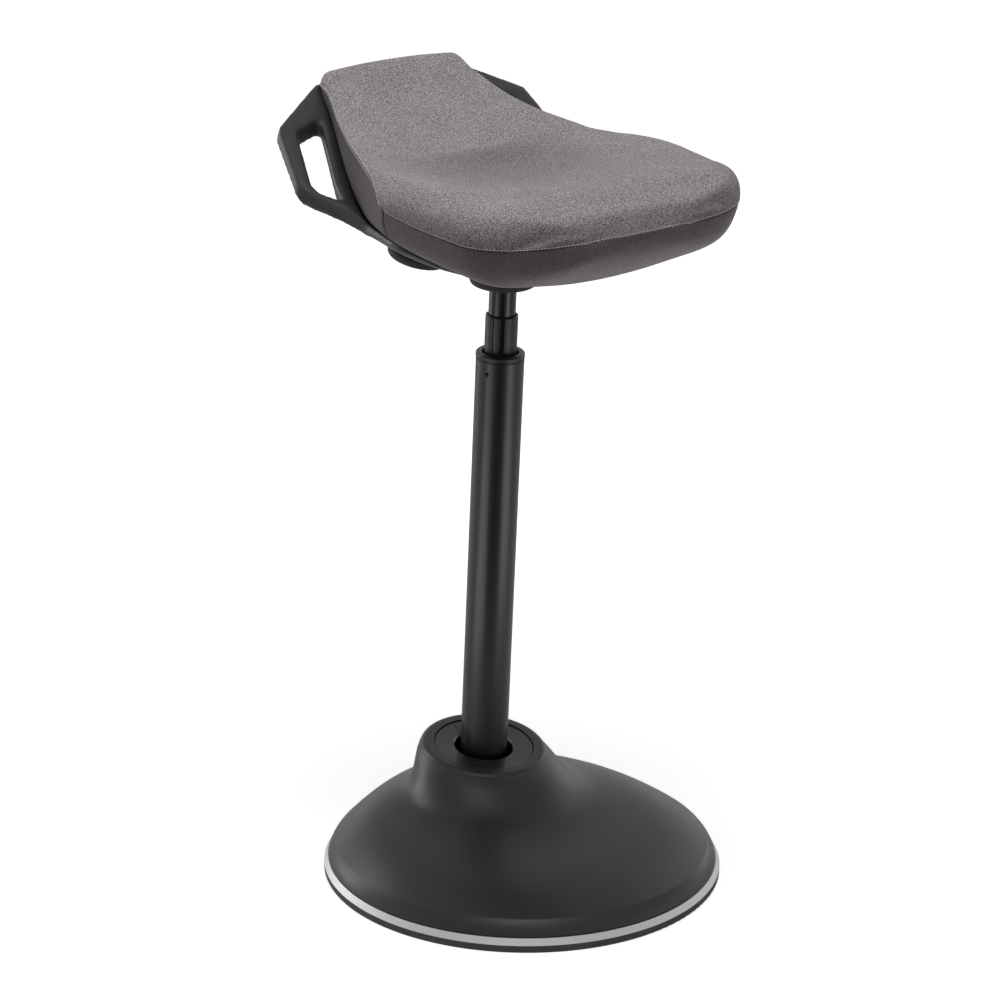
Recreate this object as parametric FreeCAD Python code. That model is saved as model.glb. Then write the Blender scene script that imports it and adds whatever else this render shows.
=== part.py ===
import FreeCAD, Part
import math
import os
from collections import namedtuple
from FreeCAD import Vector

os.makedirs("parts", exist_ok=True)

# All sizes are in millimetres and degrees. The origin is on the floor at the centre of the round
# foot, +Z is up, the front of the seat looks along -Y.

# How far a cut reaches past the face that it opens
OVER = 1.0

# Round foot
FOOT_R = 210.0
PAD_H = 8.0
PAD_EDGE = 1.5
PLATE_H = 6.5
PLATE_TOP_R = 206.0
PLATE_TOP = PAD_H + PLATE_H

# Column axis: it leans to the front and crosses the height AXIS_Z at y = AXIS_Y
LEAN = 2.7
AXIS_Y = 69.7
AXIS_Z = 50.0

# Heights from here on that belong to the column or the seat are measured along the column axis
PIVOT_Z = 65.0

# Base cover: a rim band, a crease, then circles that close in on the neck
Ring = namedtuple("Ring", "radius y z tilt")
COVER_WALL = 3.0
COVER_RIM_R = 206.0
COVER_RIM_MID = (202.3, 23.2)
RIM_GROOVE_D = 1.6
RIM_GROOVE_H = 1.2
CREASE = Ring(196.0, 0.0, 31.0, 0.0)
NECK_TILT = 7.9
NECK_CENTRE = Vector(0, 66.6, 115.6)
NECK_R = 68.0
NECK_DROP = 4.0
NECK_TOP_R = 61.0
NECK_TOP_H = 1.2
NECK_SHOULDER = (1.6, 2.0)
NECK_OPEN_H = 10.0
NECK_CAVITY_DROP = 11.0
COVER_RINGS = [
    CREASE,
    Ring(180.0, 2.0, 42.0, 1.3),
    Ring(152.0, 11.0, 55.5, 2.6),
    Ring(114.0, 30.0, 66.0, 4.0),
    Ring(91.0, 46.0, 78.0, 5.4),
    Ring(79.0, 58.0, 95.0, 6.8),
]
BOSS_CIRCLE_R = 150.0
BOSS_R = 7.0
COVER_SCREW_R = 2.0
COVER_SCREW_TOP = 34.0
COVER_SCREW_HEAD_R = 4.0
COVER_SCREW_HEAD_H = 2.5

# Collar in the neck
COLLAR_R = 53.2
COLLAR_GAP = 0.4
COLLAR_BORE_R = 31.2
COLLAR_H = 6.0
COLLAR_SKIRT = 4.0
COLLAR_SKIRT_WALL = 3.0
COLLAR_EDGE = 0.9
COLLAR_MOUTH = (1.5, 0.8, 2.3)
COLLAR_LEDGE_R = 48.0
COLLAR_SLIT_W = 1.2
COLLAR_SLIT_D = 1.6
COLLAR_SLIT_ENDS = ((-8.0, 30.0), (-2.8, 47.0))

# Sway joint
BALL_R = 38.0
BALL_HALF_H = 25.0
SWAY_GAP = 0.3
BUSHING_HALF_H = 26.0
CUP_SPHERE_R = 50.0
CUP_R = 56.0
CUP_HALF_H = 30.0
CUP_WELL_R = 40.0
FLANGE_R = 80.0
FLANGE_H = 6.0
FLANGE_BOLT_CIRCLE = 68.0
CUP_BOLT_R = 4.0
CUP_BOLT_HEAD_R = 6.5
CUP_BOLT_HEAD_H = 5.3
CLAMP_SCREW_R = 2.0
CLAMP_SCREW_CIRCLE = 53.0
CLAMP_SCREW_LENGTH = 42.0
CLAMP_SCREW_HEAD_R = 3.0
CLAMP_SCREW_HEAD_H = 3.0

# Column
TUBE_R = 25.0
TUBE_WALL = 2.0
TUBE_BOTTOM = 40.0
TUBE_TOP = 553.0
END_PLATE_H = 6.0
CAP_R = 25.4
CAP_TOP = 560.0
CAP_LIP_H = 5.0
CAP_GROOVE = 0.8
CAP_BORE_R = 19.0
CAP_SKIRT_R = 21.6
CAP_BORE_EDGE = 1.0
CAP_EDGE = 1.4
CAP_FALL = 0.3
GUIDE_BOTTOM = 470.0
GUIDE_SHOULDER = 546.0
GUIDE_NECK_R = 18.6
SLEEVE_R = 16.8
SLEEVE_BOTTOM = 552.0
SLEEVE_EDGE = 1.0
SLEEVE_TOP = 600.0
GUIDE_BORE_R = 14.05
VIEW_ANGLE = 231.25
SLOT_COUNT = 3
SLOT_W = 4.2
SLOT_TURN = 3.5
SLOT_INSIDE = 4.0
SLIT_W = 1.0
SLIT_STEP = 33.5
SLOT_BOTTOM = 562.0
GUIDE_SCREW_Z = 541.0
GUIDE_SCREW_R = 3.0
GUIDE_SCREW_ANGLE = VIEW_ANGLE - 32.0
GUIDE_SCREW_SINK = 0.6
GUIDE_SCREW_LENGTH = 7.0
GUIDE_SCREW_SOCKET = 1.6
GUIDE_SCREW_KEY = 2.5

# Gas spring
ROD_R = 5.0
ROD_BOTTOM = 32.0
ROD_TOP = 430.0
ROD_RUNNING = 0.05
RACE_IN_R = 7.0
RACE_R = 16.0
RACE_H = 3.0
BALL_BEARING_R = 2.5
BALL_CIRCLE_R = 11.5
BALL_COUNT = 10
ROD_COLLAR_R = 8.0
ROD_COLLAR_H = 3.0
CLIP_R = 9.0
CLIP_H = 2.5
CLIP_GAP = 0.3
BUMP_R = 13.0
BUMP_BOTTOM = 150.0
BUMP_TOP = 184.5
PISTON_R = 12.45
PISTON_H = 22.0
CYL_R = 14.0
CYL_BORE_R = 12.5
CYL_BOTTOM = 205.0
CYL_TOP = 660.0
CYL_ROOF = 6.0
GLAND_H = 20.0
PIN_R = 3.0
PIN_BOTTOM = 640.0
PIN_TOP = 663.2

# Hub under the seat
HUB_BOTTOM = 632.0
HUB_TOP = 656.0
HUB_FLOOR = 636.5
HUB_BOTTOM_R = 29.5
HUB_LOW_R = 34.5
HUB_LOW_Z = 638.0
HUB_BULGE = 1.3
HUB_TOP_R = 38.5
HUB_WALL = 3.0
HUB_SOCKET_R = 17.5
HUB_POST_R = 4.6
HUB_POST_CIRCLE = 24.0
HUB_BOLT_R = 2.5
HUB_BOLT_HEAD_R = 4.2
HUB_BOLT_HEAD_H = 3.0
HUB_BOLT_KEY_H = 1.8
HUB_BOLT_TOP = 674.0
MECH_HOLE_R = 18.5
MECH_SLOT_REACH = 25.0

# Height lever: built along -X and then turned about the column axis
LEVER_TURN = -45.0
LEVER_PIVOT = (-26.0, 646.5)
LEVER_PIN_R = 2.0
LEVER_PIN_HALF = 11.0
LEVER_SLEEVE_R = 5.0
LEVER_SLEEVE_SIDE = 1.0
LEVER_HALF_W = 5.0
LEVER_EAR_HALF = 5.0
LEVER_EAR_Y = (7.0, 11.0)
LEVER_EAR_TOP = 652.0
LEVER_SLOT_HALF = 8.0
LEVER_SLOT_BOTTOM = 639.0
LEVER_SLOT_X = (-46.0, -30.0)
LEVER_ROOM_X = (-31.0, -15.0)
LEVER_OUTLINE = [(5, 667), (-20.5, 667), (-23.8, 653), (-46, 652.5), (-82, 656.5),
                 (-82, 653.5), (-46, 649.5), (-20.6, 649.8), (-17.5, 664), (5, 664)]
PADDLE_X = -89.0
PADDLE_R = 31.5
PADDLE_BOTTOM = 636.2
PADDLE_TOP = 646.7
PADDLE_RISE = 12.0
PADDLE_ROUND = 8.0
PADDLE_TOP_ROUND = 1.5
PADDLE_ROOT_X = -57.0
PADDLE_ROOT_HALF = 12.0

# Seat cushion: cross-sections along the seat. The seam runs round the widest line. Above it the
# fabric rolls over a crown into a dish, below it the sides draw in to an edge and a round belly.
Section = namedtuple("Section", "y half_width seam_z crown_z dish_z edge_half edge_z belly_z")
CUSHION = [
    Section(-203, 66, 736, 743, 744, 52, 729, 726),
    Section(-196, 104, 736, 755, 756, 84, 716, 712),
    Section(-181, 146, 736, 767, 761, 120, 703, 696),
    Section(-158, 169, 736, 773, 764, 143, 698, 681),
    Section(-122, 174, 736, 775, 764, 149, 700, 669),
    Section(-60, 174, 736, 775, 757, 156, 705, 662),
    Section(-15, 169, 740, 771, 751, 160, 710, 661),
    Section(12, 158, 756, 768, 749, 152, 709, 662),
    Section(56, 141, 765, 768, 751, 138, 709, 664),
    Section(108, 121, 773, 776, 766, 119, 733, 684),
    Section(147, 106, 785, 789, 785, 104, 762, 718),
    Section(180, 94, 801, 806, 805, 92, 785, 756),
    Section(198, 87, 804, 817, 819, 84, 794, 778),
    Section(204.5, 77, 804, 813, 815.5, 73, 797, 787),
]
# Share of an inset by which the crown, the edge across and the edge's height move
INSET_SHARES = (0.3, 0.8, 0.6)
CROWN_INSET = 5.5
CROWN_SLOPE = 0.4
ROLL_BLEND = (0.25, 0.70)
SIDE_BLEND = (0.62, 0.42)
COVER_CLOTH = 2.5
COVER_OPENING = (140.0, 130.0, 60.0)

# Shell under the cushion: reach to each side and how far it stands below the belly
ShellRib = namedtuple("ShellRib", "y half_width side_drop belly_drop")
SHELL = [
    ShellRib(-92, 96, 1.5, 1.5),
    ShellRib(-60, 140, 6.0, 4.0),
    ShellRib(-15, 157, 9.5, 4.5),
    ShellRib(12, 150, 11.0, 5.0),
    ShellRib(56, 137, 12.0, 5.0),
    ShellRib(108, 118, 10.0, 5.0),
    ShellRib(147, 102, 8.0, 5.0),
    ShellRib(180, 89, 8.0, 5.0),
    ShellRib(208, 76, 8.0, 5.0),
]
SHELL_LIP = 3.0
SHELL_BOSS_R = 37.5
SHELL_BOSS_TOP = 668.0
MECH_DROP = 20.0
MECH_RISE = 2.0
PAN_GAP = 3.0
PAN_CLEAR = 0.8
PAN_H = 6.0
PAN_SHARE = 0.72
PAN_REACH = (-112.0, 112.0)

# Hand loops of the shell: bars through upright ribs, each from the finger gap out to the upper crease.
# The outer face flares out below the crease. The heights follow two lines seen from the side.
LoopRib = namedtuple("LoopRib", "inner outer flare")
LOOP_RIBS = [
    LoopRib((100, 175), (90, 206), 1.0),
    LoopRib((141.5, 165.5), (158.5, 173.5), 4.0),
    LoopRib((158.5, 114), (173, 117), 3.5),
    LoopRib((156.5, 102), (168.5, 108), 5.0),
    LoopRib((142, 81), (151, 72), 5.0),
    LoopRib((130, 46), (145, 40), 3.0),
    LoopRib((136, 4), (150.5, -2), 0.0),
]
LOOP_POST_OVER = 10.0
LOOP_POST = [(60, 207), (90, 206), (107.5, 174.5), (143.5, 82), (130, 46), (100, 46), (60, 150)]
LOOP_TOP = [(0, 708), (40, 709), (110, 729), (169, 775), (212, 812)]
LOOP_BOTTOM = [(0, 700.5), (40, 695), (110, 711), (169, 755), (212, 793)]


def lean(shape):
    """Shape in the upright column frame, moved to where the leaning column stands."""
    moved = shape.copy()
    moved.rotate(Vector(0, 0, AXIS_Z), Vector(1, 0, 0), LEAN)
    moved.translate(Vector(0, AXIS_Y, 0))
    return moved


def to_neck(shape):
    """Shape built about Z with the collar's top face at zero, moved to the tilted neck."""
    moved = shape.copy()
    moved.rotate(Vector(0, 0, 0), Vector(1, 0, 0), NECK_TILT)
    moved.translate(NECK_CENTRE)
    return moved


def cylinder(radius, bottom, top, x=0.0, y=0.0):
    return Part.makeCylinder(radius, top - bottom, Vector(x, y, bottom))


def tube(radius, bore, bottom, top):
    return cylinder(radius, bottom, top).cut(cylinder(bore, bottom - OVER, top + OVER))


def revolved(points):
    """Solid of revolution about Z of a closed outline of (radius, height) points."""
    corners = [Vector(r, 0, z) for r, z in points]
    face = Part.Face(Part.makePolygon(corners + corners[:1]))
    return face.revolve(Vector(0, 0, 0), Vector(0, 0, 1), 360)


def prism(points, bottom, top):
    corners = [Vector(x, y, bottom) for x, y in points]
    face = Part.Face(Part.makePolygon(corners + corners[:1]))
    return face.extrude(Vector(0, 0, top - bottom))


def around(count, radius, start=0.0):
    """Evenly spaced (x, y) points on a circle about Z."""
    angles = [math.radians(start + 360.0 * k / count) for k in range(count)]
    return [(radius * math.cos(a), radius * math.sin(a)) for a in angles]


def export(name, shape):
    shape.exportStep("parts/" + name + ".step")


# Foot

def foot_pad():
    pad = cylinder(FOOT_R, 0, PAD_H)
    rims = [e for e in pad.Edges if e.Closed and e.BoundBox.ZMax < 0.1]
    return pad.makeFillet(PAD_EDGE, rims)


def cover_bosses():
    return around(4, BOSS_CIRCLE_R, 45.0)


def flange_centre():
    """Where the column axis meets the top of the base plate."""
    return AXIS_Y + (AXIS_Z - PLATE_TOP) * math.tan(math.radians(LEAN))


def flange_bolts():
    centre = flange_centre()
    return [(x, y + centre) for x, y in around(4, FLANGE_BOLT_CIRCLE, 45.0)]


def base_plate():
    plate = Part.makeCone(FOOT_R, PLATE_TOP_R, PLATE_H, Vector(0, 0, PAD_H))
    for x, y in flange_bolts():
        plate = plate.cut(cylinder(CUP_BOLT_R, PAD_H, PLATE_TOP, x, y))
    for x, y in cover_bosses():
        plate = plate.cut(cylinder(COVER_SCREW_R, PAD_H, PLATE_TOP, x, y))
        plate = plate.cut(screw_cone(x, y))
    return plate


def screw_cone(x, y):
    return Part.makeCone(COVER_SCREW_HEAD_R, COVER_SCREW_R, COVER_SCREW_HEAD_H, Vector(x, y, PAD_H))


def cover_screws():
    screws = []
    for x, y in cover_bosses():
        screws.append(cylinder(COVER_SCREW_R, PAD_H, COVER_SCREW_TOP, x, y).fuse(screw_cone(x, y)).removeSplitter())
    return Part.makeCompound(screws)


def ring_wire(ring, wall):
    wire = Part.Wire([Part.makeCircle(ring.radius - wall, Vector(0, ring.y, ring.z))])
    wire.rotate(Vector(0, ring.y, ring.z), Vector(1, 0, 0), ring.tilt)
    return wire


def cover_rim(wall):
    """Rim band from the plate up to the crease, as a solid of revolution."""
    low = Vector(COVER_RIM_R - wall, 0, PLATE_TOP)
    mid = Vector(COVER_RIM_MID[0] - wall, 0, COVER_RIM_MID[1])
    high = Vector(CREASE.radius - wall, 0, CREASE.z - wall)
    arc = Part.Arc(low, mid, high).toShape()
    centre = [Part.makeLine(high, Vector(0, 0, high.z)), Part.makeLine(Vector(0, 0, high.z), Vector(0, 0, low.z)),
              Part.makeLine(Vector(0, 0, low.z), low)]
    face = Part.Face(Part.Wire([arc] + centre))
    return face.revolve(Vector(0, 0, 0), Vector(0, 0, 1), 360)


def cover_dome(wall, drop):
    """Dome and neck above the crease, up to drop below the collar's top face."""
    tilt = math.radians(NECK_TILT)
    top = Ring(NECK_R, NECK_CENTRE.y + drop * math.sin(tilt), NECK_CENTRE.z - drop * math.cos(tilt), NECK_TILT)
    lowered = [Ring(r.radius, r.y, r.z - wall, r.tilt) for r in COVER_RINGS]
    return Part.makeLoft([ring_wire(r, wall) for r in lowered + [top]], True)


def neck_top():
    """Rounded shoulder round the neck, above the dome."""
    low = Vector(NECK_R, 0, -NECK_DROP)
    high = Vector(NECK_TOP_R, 0, NECK_TOP_H)
    mid = Vector(NECK_R - NECK_SHOULDER[0], 0, NECK_TOP_H - NECK_SHOULDER[1])
    arc = Part.Arc(low, mid, high).toShape()
    axis_high = Vector(0, 0, high.z)
    axis_low = Vector(0, 0, low.z)
    lines = [Part.makeLine(high, axis_high), Part.makeLine(axis_high, axis_low), Part.makeLine(axis_low, low)]
    face = Part.Face(Part.Wire([arc] + lines))
    return to_neck(face.revolve(Vector(0, 0, 0), Vector(0, 0, 1), 360))


def base_cover():
    outer = cover_rim(0).fuse(cover_dome(0, NECK_DROP)).fuse(neck_top())
    inner = cover_rim(COVER_WALL).fuse(cover_dome(COVER_WALL, NECK_CAVITY_DROP))
    cover = outer.cut(inner)
    for x, y in cover_bosses():
        boss = cylinder(BOSS_R, PLATE_TOP, 2 * CREASE.z, x, y).common(outer)
        cover = cover.fuse(boss).cut(cylinder(COVER_SCREW_R, PLATE_TOP, COVER_SCREW_TOP, x, y))
    seat = cylinder(COLLAR_R + COLLAR_GAP, -COLLAR_H, NECK_OPEN_H)
    throat = cylinder(COLLAR_LEDGE_R, -2 * NECK_CAVITY_DROP, NECK_OPEN_H)
    groove = tube(FOOT_R, COVER_RIM_R - RIM_GROOVE_D, PLATE_TOP - OVER, PLATE_TOP + RIM_GROOVE_H)
    return cover.cut(to_neck(seat)).cut(to_neck(throat)).cut(groove).removeSplitter()


def neck_collar():
    skirt_r = COLLAR_BORE_R + COLLAR_SKIRT_WALL
    mouth_r, mouth_drop, bore_drop = COLLAR_MOUTH
    outline = [(COLLAR_BORE_R + mouth_r, -mouth_drop), (COLLAR_R - COLLAR_EDGE, 0), (COLLAR_R, -COLLAR_EDGE),
               (COLLAR_R, -COLLAR_H), (skirt_r, -COLLAR_H), (skirt_r, -COLLAR_H - COLLAR_SKIRT),
               (COLLAR_BORE_R, -COLLAR_H - COLLAR_SKIRT), (COLLAR_BORE_R, -bore_drop)]
    collar = revolved(outline)
    (x0, y0), (x1, y1) = COLLAR_SLIT_ENDS
    length = math.hypot(x1 - x0, y1 - y0)
    slit = Part.makeBox(length, COLLAR_SLIT_W, COLLAR_SLIT_D, Vector(0, -COLLAR_SLIT_W / 2, -COLLAR_SLIT_D))
    slit.rotate(Vector(0, 0, 0), Vector(0, 0, 1), math.degrees(math.atan2(y1 - y0, x1 - x0)))
    slit.translate(Vector(x0, y0, 0))
    return to_neck(collar.cut(slit))


# Sway joint

def sphere(radius):
    return Part.makeSphere(radius, Vector(0, 0, PIVOT_Z))


def bushing_cup():
    wall = lean(cylinder(CUP_R, 0, PIVOT_Z))
    flange = cylinder(FLANGE_R, PLATE_TOP, PLATE_TOP + FLANGE_H, 0, flange_centre())
    below = cylinder(2 * FLANGE_R, -2 * FLANGE_R, PLATE_TOP, 0, AXIS_Y)
    cup = wall.fuse(flange).cut(below)
    cup = cup.cut(lean(sphere(CUP_SPHERE_R).common(cylinder(CUP_R, PIVOT_Z - CUP_HALF_H, PIVOT_Z + OVER))))
    cup = cup.cut(lean(cylinder(CUP_WELL_R, 0, PIVOT_Z)))
    for x, y in flange_bolts():
        cup = cup.cut(cylinder(CUP_BOLT_R, PLATE_TOP, PLATE_TOP + FLANGE_H, x, y))
    for x, y in around(4, CLAMP_SCREW_CIRCLE):
        cup = cup.cut(lean(cylinder(CLAMP_SCREW_R, clamp_screw_tip(), PIVOT_Z, x, y)))
    return cup.removeSplitter()


def clamp_screw_tip():
    return PIVOT_Z + CUP_HALF_H - CLAMP_SCREW_LENGTH


def cup_bolts():
    bolts = []
    for x, y in flange_bolts():
        top = PLATE_TOP + FLANGE_H
        shank = cylinder(CUP_BOLT_R, PAD_H, top, x, y)
        corners = [(x + a, y + b) for a, b in around(6, CUP_BOLT_HEAD_R)]
        bolts.append(shank.fuse(prism(corners, top, top + CUP_BOLT_HEAD_H)))
    return Part.makeCompound(bolts)


def clamp_ring():
    ring = cylinder(CUP_R, PIVOT_Z, PIVOT_Z + CUP_HALF_H)
    ring = ring.cut(sphere(CUP_SPHERE_R))
    for x, y in around(4, CLAMP_SCREW_CIRCLE):
        ring = ring.cut(cylinder(CLAMP_SCREW_R, PIVOT_Z, PIVOT_Z + CUP_HALF_H, x, y))
    return lean(ring)


def clamp_screws():
    screws = []
    top = PIVOT_Z + CUP_HALF_H
    for x, y in around(4, CLAMP_SCREW_CIRCLE):
        shank = cylinder(CLAMP_SCREW_R, clamp_screw_tip(), top, x, y)
        head = cylinder(CLAMP_SCREW_HEAD_R, top, top + CLAMP_SCREW_HEAD_H, x, y)
        screws.append(lean(shank.fuse(head)))
    return Part.makeCompound(screws)


def rubber_bushing():
    shell = sphere(CUP_SPHERE_R - SWAY_GAP).cut(sphere(BALL_R + SWAY_GAP))
    slab = cylinder(CUP_R, PIVOT_Z - BUSHING_HALF_H, PIVOT_Z + BUSHING_HALF_H)
    return lean(shell.common(slab))


def column_socket():
    slab = cylinder(CUP_R, PIVOT_Z - BALL_HALF_H, PIVOT_Z + BALL_HALF_H)
    bore = cylinder(TUBE_R, 0, 2 * PIVOT_Z)
    return lean(sphere(BALL_R).common(slab).cut(bore))


# Column

def guide_screw_places():
    """Directions of the two set screws that hold the guide bushing, as turns about the column."""
    return [GUIDE_SCREW_ANGLE, GUIDE_SCREW_ANGLE + 180.0]


def radial_cylinder(radius, near, far, height, angle):
    """Cylinder that points outwards from the column axis at a height."""
    solid = Part.makeCylinder(radius, far - near, Vector(near, 0, height), Vector(1, 0, 0))
    solid.rotate(Vector(0, 0, 0), Vector(0, 0, 1), angle)
    return solid


def column_tube():
    body = tube(TUBE_R, TUBE_R - TUBE_WALL, TUBE_BOTTOM, TUBE_TOP)
    for angle in guide_screw_places():
        body = body.cut(radial_cylinder(GUIDE_SCREW_R, CYL_R, TUBE_R + OVER, GUIDE_SCREW_Z, angle))
    return lean(body)


def column_end_plate():
    return lean(tube(TUBE_R - TUBE_WALL, ROD_R + ROD_RUNNING, TUBE_BOTTOM, TUBE_BOTTOM + END_PLATE_H))


def column_cap():
    """End ring of the tube: a lip with a groove under it, and a skirt that goes into the tube."""
    lip_low = CAP_TOP - CAP_LIP_H
    skirt_out = TUBE_R - TUBE_WALL
    outline = [(CAP_BORE_R, CAP_TOP - CAP_BORE_EDGE), (CAP_BORE_R + CAP_BORE_EDGE, CAP_TOP),
               (CAP_R - CAP_EDGE, CAP_TOP - CAP_FALL), (CAP_R, CAP_TOP - CAP_FALL - CAP_EDGE),
               (CAP_R, lip_low), (TUBE_R - CAP_GROOVE, lip_low - CAP_GROOVE),
               (TUBE_R - CAP_GROOVE, TUBE_TOP), (skirt_out, TUBE_TOP), (skirt_out, GUIDE_SHOULDER),
               (CAP_SKIRT_R, GUIDE_SHOULDER), (CAP_SKIRT_R, lip_low), (CAP_BORE_R, lip_low)]
    return lean(revolved(outline))


def guide_bushing():
    flange_r = TUBE_R - TUBE_WALL
    outline = [(GUIDE_BORE_R, GUIDE_BOTTOM), (flange_r, GUIDE_BOTTOM), (flange_r, GUIDE_SHOULDER),
               (GUIDE_NECK_R, GUIDE_SHOULDER), (GUIDE_NECK_R, SLEEVE_BOTTOM), (SLEEVE_R, SLEEVE_BOTTOM),
               (SLEEVE_R, SLEEVE_TOP - SLEEVE_EDGE), (SLEEVE_R - SLEEVE_EDGE, SLEEVE_TOP),
               (GUIDE_BORE_R + SLEEVE_EDGE, SLEEVE_TOP), (GUIDE_BORE_R, SLEEVE_TOP - SLEEVE_EDGE)]
    guide = revolved(outline)
    for k in range(SLOT_COUNT):
        turn = VIEW_ANGLE + SLOT_TURN + 360.0 * k / SLOT_COUNT
        guide = guide.cut(sleeve_slot(SLOT_W, SLOT_BOTTOM, turn))
        guide = guide.cut(sleeve_slot(SLIT_W, SLOT_BOTTOM, turn - SLIT_STEP))
    for angle in guide_screw_places():
        tip = TUBE_R - GUIDE_SCREW_SINK - GUIDE_SCREW_LENGTH
        guide = guide.cut(radial_cylinder(GUIDE_SCREW_R, tip, TUBE_R, GUIDE_SCREW_Z, angle))
    return lean(guide)


def sleeve_slot(width, bottom, turn):
    inside = GUIDE_BORE_R - SLOT_INSIDE
    slot = Part.makeBox(SLEEVE_R, width, SLEEVE_TOP - bottom + OVER, Vector(inside, -width / 2, bottom))
    slot.rotate(Vector(0, 0, 0), Vector(0, 0, 1), turn)
    return slot


def guide_screws():
    screws = []
    for angle in guide_screw_places():
        face = TUBE_R - GUIDE_SCREW_SINK
        body = radial_cylinder(GUIDE_SCREW_R, face - GUIDE_SCREW_LENGTH, face, GUIDE_SCREW_Z, angle)
        corners = [Vector(face - GUIDE_SCREW_KEY, a, b) for a, b in around(6, GUIDE_SCREW_SOCKET)]
        socket = Part.makePolygon(corners + corners[:1])
        key = Part.Face(socket).extrude(Vector(GUIDE_SCREW_KEY + OVER, 0, 0))
        key.translate(Vector(0, 0, GUIDE_SCREW_Z))
        key.rotate(Vector(0, 0, 0), Vector(0, 0, 1), angle)
        screws.append(lean(body.cut(key)))
    return Part.makeCompound(screws)


def race_bottom():
    return TUBE_BOTTOM + END_PLATE_H


def ball_centre_z():
    return race_bottom() + RACE_H + ROD_RUNNING + BALL_BEARING_R


def thrust_race_lower():
    return lean(tube(RACE_R, RACE_IN_R, race_bottom(), race_bottom() + RACE_H))


def thrust_balls():
    spots = around(BALL_COUNT, BALL_CIRCLE_R)
    balls = [Part.makeSphere(BALL_BEARING_R, Vector(x, y, ball_centre_z())) for x, y in spots]
    return lean(Part.makeCompound(balls))


def upper_race_bottom():
    return ball_centre_z() + BALL_BEARING_R + ROD_RUNNING


def thrust_race_upper():
    return lean(tube(RACE_R, ROD_R, upper_race_bottom(), upper_race_bottom() + RACE_H))


# Gas spring

def piston_rod():
    collar_bottom = upper_race_bottom() + RACE_H
    rod = cylinder(ROD_R, ROD_BOTTOM, ROD_TOP)
    return lean(rod.fuse(cylinder(ROD_COLLAR_R, collar_bottom, collar_bottom + ROD_COLLAR_H)))


def rod_clip():
    top = TUBE_BOTTOM - CLIP_GAP
    ring = tube(CLIP_R, ROD_R, top - CLIP_H, top)
    mouth = Part.makeBox(2 * CLIP_R, ROD_R, CLIP_H, Vector(0, -ROD_R / 2, top - CLIP_H))
    return lean(ring.cut(mouth))


def bump_stop():
    return lean(tube(BUMP_R, ROD_R, BUMP_BOTTOM, BUMP_TOP))


def piston_head():
    return lean(cylinder(PISTON_R, ROD_TOP, ROD_TOP + PISTON_H))


def gas_cylinder():
    body = cylinder(CYL_R, CYL_BOTTOM, CYL_TOP)
    body = body.cut(cylinder(CYL_BORE_R, CYL_BOTTOM - OVER, CYL_TOP - CYL_ROOF))
    return lean(body.cut(cylinder(PIN_R + ROD_RUNNING, CYL_TOP - CYL_ROOF - OVER, CYL_TOP + OVER)))


def cylinder_gland():
    return lean(tube(CYL_BORE_R, ROD_R + ROD_RUNNING, CYL_BOTTOM, CYL_BOTTOM + GLAND_H))


def release_pin():
    return lean(cylinder(PIN_R, PIN_BOTTOM, PIN_TOP))


# Hub and height lever

def hub_posts():
    return around(4, HUB_POST_CIRCLE)


def turn_lever(shape):
    """Shape built along -X, turned to the direction in which the lever leaves the hub."""
    turned = shape.copy()
    turned.rotate(Vector(0, 0, 0), Vector(0, 0, 1), LEVER_TURN)
    return turned


def cross_cylinder(radius, half):
    x, z = LEVER_PIVOT
    return Part.makeCylinder(radius, 2 * half, Vector(x, -half, z), Vector(0, 1, 0))


def hub_bowl():
    """Outer bowl of the hub as a solid of revolution with a round lower corner."""
    low = Vector(HUB_BOTTOM_R, 0, HUB_BOTTOM)
    side = Vector(HUB_LOW_R, 0, HUB_LOW_Z)
    bulge = Vector(HUB_LOW_R - HUB_BULGE, 0, HUB_BOTTOM + HUB_BULGE)
    rim = Vector(HUB_TOP_R, 0, HUB_TOP)
    axis_top = Vector(0, 0, HUB_TOP)
    axis_low = Vector(0, 0, HUB_BOTTOM)
    edges = [Part.makeLine(axis_low, low), Part.Arc(low, bulge, side).toShape(), Part.makeLine(side, rim),
             Part.makeLine(rim, axis_top), Part.makeLine(axis_top, axis_low)]
    return Part.Face(Part.Wire(edges)).revolve(Vector(0, 0, 0), Vector(0, 0, 1), 360)


def lever_gap(reach, half):
    """Room for the arm of the lever, open to the top of the hub."""
    start, end = reach
    height = HUB_TOP - LEVER_SLOT_BOTTOM + OVER
    return turn_lever(Part.makeBox(end - start, 2 * half, height, Vector(start, -half, LEVER_SLOT_BOTTOM)))


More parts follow.
